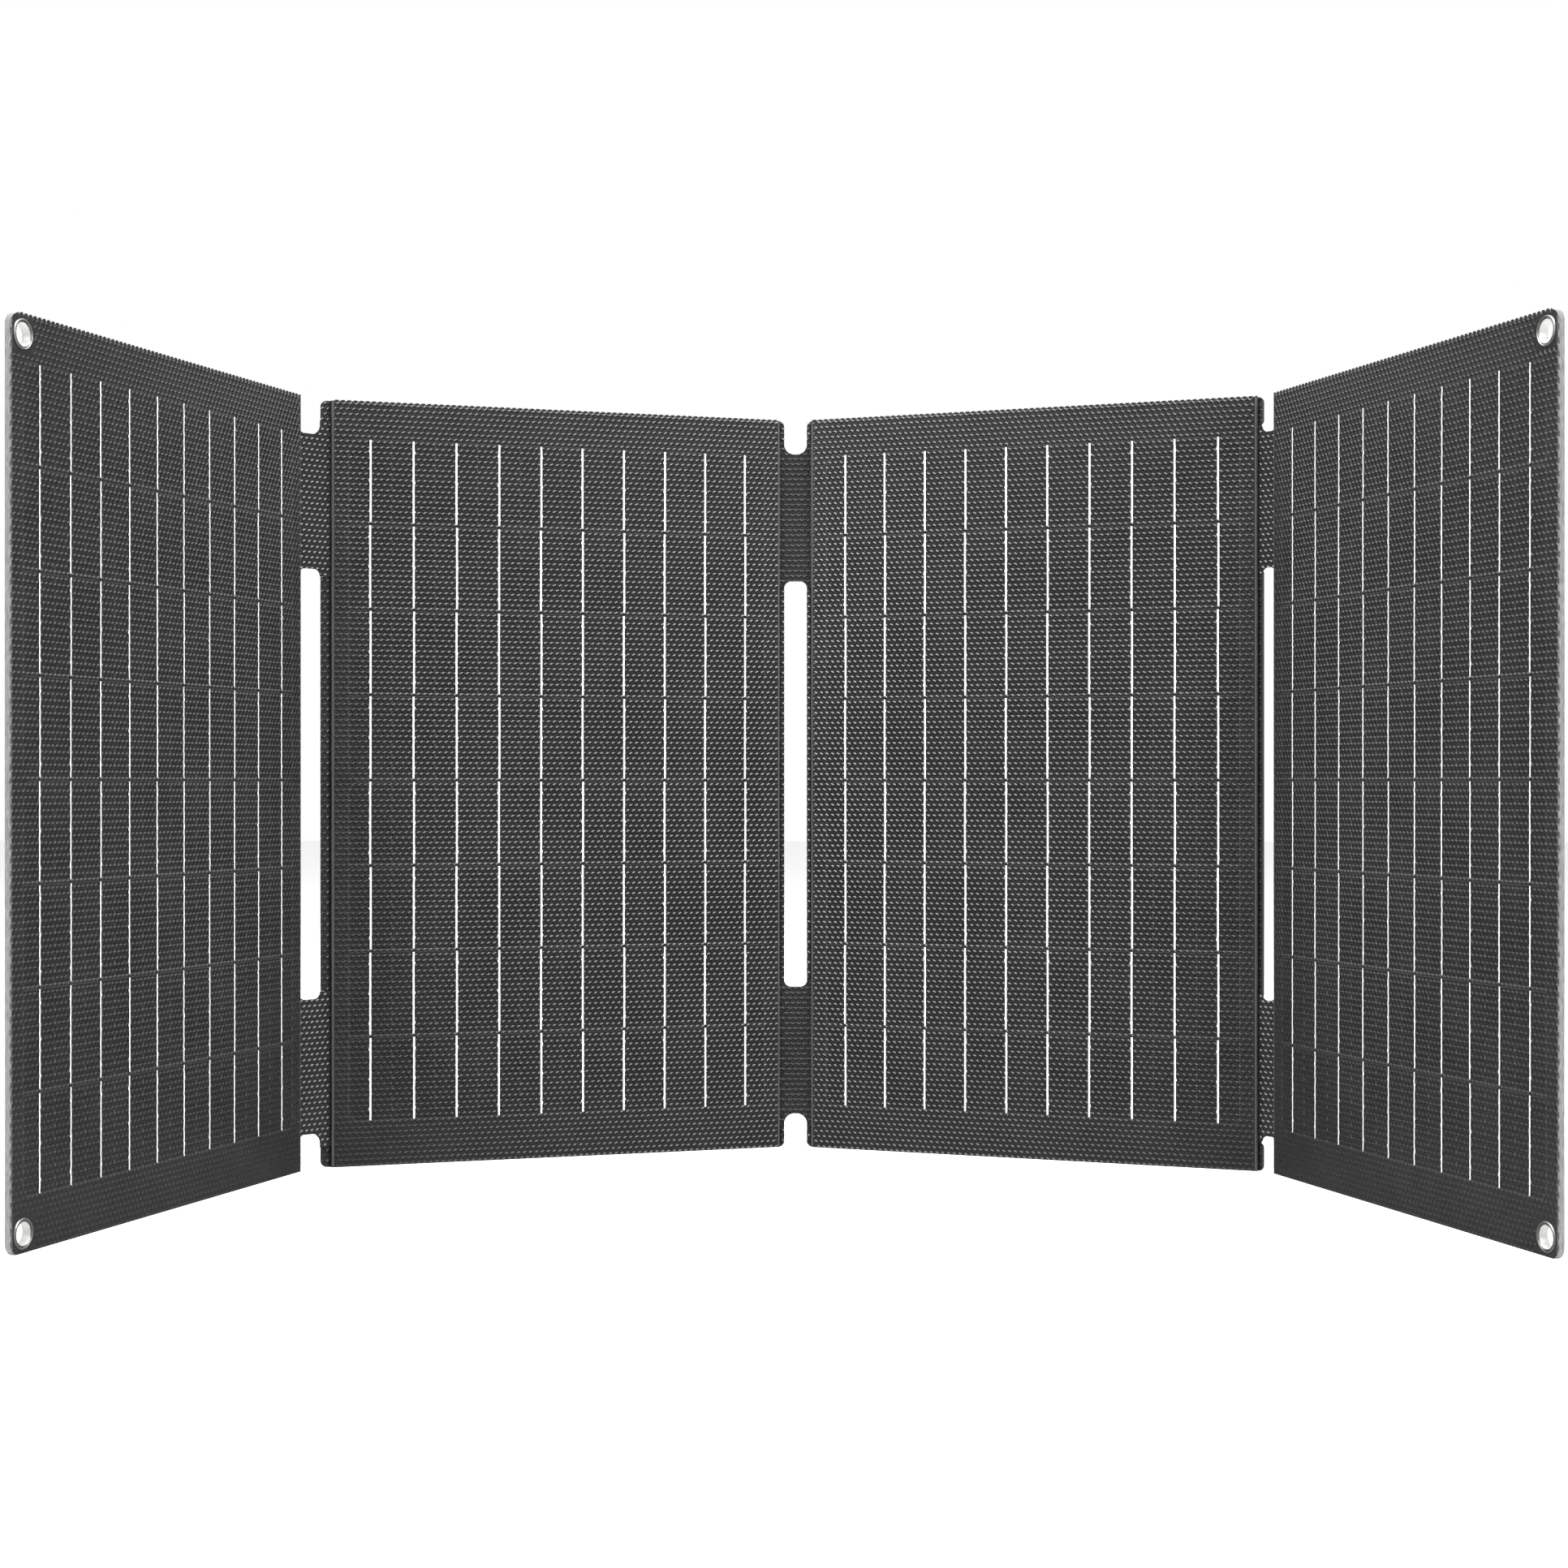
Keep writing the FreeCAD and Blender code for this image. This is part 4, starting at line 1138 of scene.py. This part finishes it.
class BLANKET_OT_eyelets(bpy.types.Operator):
    """Make the rolled nickel eyelets and the washers that they are closed over"""

    bl_idname = "blanket.eyelets"
    bl_label = "Eyelets"
    bl_options = {"REGISTER", "UNDO"}

    bore: FloatProperty(name="Bore", description="Radius of the eyelet's bore", default=4.0)
    wall: FloatProperty(name="Wall", description="Thickness of the barrel", default=0.4)
    lip: FloatProperty(name="Lip", description="Outer radius of the rolled lip", default=5.4)

    def execute(self, context):
        for number in (1, 4):
            self.spun(number, "eyelet_rings_%d", "eyelets_%d", self.rolled_profile())
            self.spun(number, "washer_rings_%d", "eyelet_washers_%d", self.washer_profile())
        return {"FINISHED"}

    def rolled_profile(self):
        """The barrel and its two rolled lips, as radius and depth."""
        r, t, lip = self.bore, self.wall, self.lip
        return (
            (r + 0.02, 1.85), (r, 1.2), (r, -0.9), (r + 0.02, -1.28), (r + 0.12, -1.52), (r + 0.26, -1.6),
            (r + 0.38, -1.54), (r + 0.45, -1.40), (r + 0.52, -1.40), (r + 0.6, -1.56), (r + 0.78, -1.72),
            (r + 1.0, -1.76), (r + 1.2, -1.68), (r + 1.35, -1.48), (lip + 0.02, -1.24), (lip - 0.08, -1.1),
            (r + t + 0.2, -1.02), (r + t, -0.8), (r + t, 1.6), (r + t + 0.3, 1.78), (r + t + 0.32, 1.92),
            (r + t + 0.15, 2.0), (r + 0.15, 2.0),
        )

    def washer_profile(self):
        """The domed washer round the barrel's back, as radius and depth."""
        r = self.bore + self.wall
        return (
            (r + 0.03, 1.22), (r + 0.03, 1.55), (r + 0.18, 1.68), (r + 0.5, 1.74), (r + 0.85, 1.66),
            (r + 1.02, 1.45), (r + 1.02, 1.28), (r + 0.9, 1.22),
        )

    def spun(self, number, name, node, profile):
        """Spins a profile about each eyelet's axis, with painted shade in the rolled lip's hollow and a painted
        reflection on the barrel's light wall.
        """
        places = eyelet_places(number)
        bm = bmesh.new()
        for place in places:
            ring = [bm.verts.new((place.x + radius, depth, place.z)) for radius, depth in profile]
            loop = [bm.edges.new((a, b)) for a, b in zip(ring, ring[1:] + ring[:1])]
            bmesh.ops.spin(
                bm, geom=[*ring, *loop], cent=place, axis=(0, 1, 0), dvec=(0, 0, 0), angle=math.tau,
                steps=48, use_merge=True, use_duplicate=False)
        bmesh.ops.remove_doubles(bm, verts=bm.verts, dist=0.001)
        bmesh.ops.recalc_face_normals(bm, faces=bm.faces)
        for face in bm.faces:
            p = face.calc_center_median()
            reach = min(math.hypot(p.x - place.x, p.z - place.z) for place in places) - self.bore
            # index 1: darker nickel copy in the rolled lip's hollow, painted shade; index 2: the bore's wall, a
            # light, less metal copy, painted reflection
            face.material_index = 1 if 0.36 < reach < 0.62 else 2 if reach < 0.04 else 0
        nickel = shared("nickel_plate", nickel_material, "nickel_plate", 1.0)
        shaded = shared("nickel_shaded", nickel_material, "nickel_shaded", 0.12)
        # the bore's wall takes the nickel's colour as a mostly non-metal finish so it reads light: painted
        # reflection of the white surroundings
        light = (0.62, 0.61, 0.59)
        barrel = shared(
            "nickel_barrel", moulded_material, "nickel_barrel", light, 0.45, 900.0, 0.00002, 0.2, 0.15)
        piece = finish_piece(bm, name % number, panel_frame(number), [nickel, shaded, barrel])
        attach(piece, "panel_%d" % number)
        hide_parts(node % number)


class BLANKET_OT_output_box(bpy.types.Operator):
    """Finish the output box: moulded shell, rubber, screws, sockets, circuit and light pipe"""

    bl_idname = "blanket.output_box"
    bl_label = "Output Box"
    bl_options = {"REGISTER", "UNDO"}

    def execute(self, context):
        c = colours()
        shell = moulded_material("box_plastic", c.shell, 0.5, 2200.0, 0.00006)
        rubber = moulded_material("matt_rubber", c.rubber, 0.78, 1500.0, 0.00004)
        steel = moulded_material("plated_steel", (0.6, 0.6, 0.6), 0.3, 1800.0, 0.00002, 1.0, 0.12)
        board = moulded_material("solder_mask", (0.03, 0.16, 0.07), 0.35, 1200.0, 0.00002)
        parts = moulded_material("moulded_component", (0.05, 0.05, 0.05), 0.45, 1400.0, 0.00003)
        tinned = bpy.data.materials["tinned_copper"]
        lens = moulded_material("light_pipe", (0.75, 0.85, 0.78), 0.3, 800.0, 0.00001, 0.0, 0.06)
        finishes = (
            (shell, ("box_base", "box_lid")), (rubber, ("lid_gasket", "port_cover")),
            (steel, ("lid_screws", "usb_a_socket", "usb_c_socket", "cover_pin")), (board, ("circuit_board",)),
            (parts, ("circuit_parts", "dc_jack")), (tinned, ("output_tabs",)), (lens, ("status_lens",)),
        )
        for finish, nodes in finishes:
            for node in nodes:
                paint_node(node, finish)
        return {"FINISHED"}


class BLANKET_OT_stage(bpy.types.Operator):
    """Set up the pale floor, the soft studio light and the camera"""

    bl_idname = "blanket.stage"
    bl_label = "Stage"
    bl_options = {"REGISTER", "UNDO"}

    lens: FloatProperty(name="Lens", description="Focal length of the camera, in millimetres", default=57.2)
    distance: FloatProperty(
        name="Distance", description="Distance from the middle fold", default=1.0998, unit="LENGTH")
    surround: FloatProperty(
        name="Surround", description="Strength of the light from all round", default=0.3)
    eye_level: FloatProperty(
        name="Eye level", description="Height of the camera", default=0.16, unit="LENGTH")

    def execute(self, context):
        scene = context.scene
        self.floor()
        world = bpy.data.worlds.new("studio")
        world.use_nodes = True
        background = world.node_tree.nodes["Background"]
        background.inputs["Color"].default_value = (1, 1, 1, 1)
        path = world.node_tree.nodes.new("ShaderNodeLightPath")
        blend = world.node_tree.nodes.new("ShaderNodeMapRange")
        blend.inputs["To Min"].default_value = self.surround
        blend.inputs["To Max"].default_value = 1.0
        world.node_tree.links.new(path.outputs["Is Camera Ray"], blend.inputs["Value"])
        world.node_tree.links.new(blend.outputs["Result"], background.inputs["Strength"])
        scene.world = world
        middle = (joint("fold_2_inner") + joint("fold_2_outer")) / 2 * MM
        target = middle + Vector((0, 0, 0.1))
        for side, name in ((-1, "left"), (1, "right")):
            self.light("key_" + name, middle + Vector((0.3 * side, -0.55, 1.35)), target, 0.8, 21.0)
            self.light("back_" + name, middle + Vector((0.8 * side, 0.4, 1.3)), target, 0.7, 5.0)
        self.light("side_left", middle + Vector((-1.1, -1.0, 0.75)), middle, 0.4, 6.0)
        self.light("side_right", middle + Vector((1.2, -0.9, 0.7)), middle, 0.4, 6.0)
        camera = bpy.data.objects.new("camera", bpy.data.cameras.new("camera"))
        scene.collection.objects.link(camera)
        aside = 0.0235
        place = Vector((middle.x + aside, middle.y - self.distance, self.eye_level))
        gaze = Vector((-0.026, 0.9997, 0))
        camera.matrix_world = aimed(place, gaze)
        camera.data.lens = self.lens
        camera.data.sensor_width = 36
        camera.data.clip_start = 0.02
        camera.data.clip_end = 60
        scene.camera = camera
        scene.view_settings.view_transform = "Standard"
        return {"FINISHED"}

    def floor(self):
        """A pale floor that no reflection shows."""
        bm = bmesh.new()
        bmesh.ops.create_grid(bm, x_segments=8, y_segments=8, size=6.0)
        finish, tree, shader = new_material("pale_floor")
        place = object_axes(tree)
        grain = noise(tree, place, 30.0, 2.0)
        colour = mix_colour(tree, grain, (0.93, 0.93, 0.93), (0.97, 0.97, 0.97))
        tree.links.new(colour, shader.inputs["Base Color"])
        shader.inputs["Roughness"].default_value = 0.9
        shader.inputs["Specular IOR Level"].default_value = 0.0
        shader.inputs["Emission Color"].default_value = (1, 1, 1, 1)
        shader.inputs["Emission Strength"].default_value = 0.6
        floor = object_of(bm, "floor", None, [finish])
        floor.visible_glossy = False

    def light(self, name, place, target, size, power):
        """A square lamp that faces its target."""
        data = bpy.data.lights.new(name, "AREA")
        data.shape = "SQUARE"
        data.size = size
        data.energy = power
        lamp = bpy.data.objects.new(name, data)
        bpy.context.scene.collection.objects.link(lamp)
        lamp.matrix_world = aimed(place, target - place)


class BLANKET_PT_panel(bpy.types.Panel):
    """Solar blanket pieces"""

    bl_idname = "BLANKET_PT_panel"
    bl_label = "Solar Blanket"
    bl_space_type = "VIEW_3D"
    bl_region_type = "UI"
    bl_category = "Solar Blanket"

    def draw(self, context):
        layout = self.layout
        for operator in OPERATORS:
            layout.operator(operator.bl_idname)
        for group in ("blanket_sizes", "blanket_emboss", "blanket_cells", "blanket_colours"):
            values = getattr(context.scene, group)
            box = layout.box()
            for name in values.__annotations__:
                box.prop(values, name)


GROUPS = (BlanketSizes, BlanketEmboss, BlanketCells, BlanketColours)
OPERATORS = (BLANKET_OT_film_faces, BLANKET_OT_busbars, BLANKET_OT_fold_webs, BLANKET_OT_laminate,
             BLANKET_OT_eyelets, BLANKET_OT_output_box, BLANKET_OT_stage)
CLASSES = (*GROUPS, *OPERATORS, BLANKET_PT_panel)


def register():
    for kind in CLASSES:
        bpy.utils.register_class(kind)
    bpy.types.Scene.blanket_sizes = PointerProperty(type=BlanketSizes)
    bpy.types.Scene.blanket_emboss = PointerProperty(type=BlanketEmboss)
    bpy.types.Scene.blanket_cells = PointerProperty(type=BlanketCells)
    bpy.types.Scene.blanket_colours = PointerProperty(type=BlanketColours)


def unregister():
    del bpy.types.Scene.blanket_colours
    del bpy.types.Scene.blanket_cells
    del bpy.types.Scene.blanket_emboss
    del bpy.types.Scene.blanket_sizes
    for kind in reversed(CLASSES):
        bpy.utils.unregister_class(kind)


def main():
    register()
    bpy.ops.blanket.stage()
    bpy.ops.blanket.film_faces()
    bpy.ops.blanket.busbars()
    bpy.ops.blanket.fold_webs()
    bpy.ops.blanket.laminate()
    bpy.ops.blanket.eyelets()
    bpy.ops.blanket.output_box()


if __name__ == "__main__":
    main()
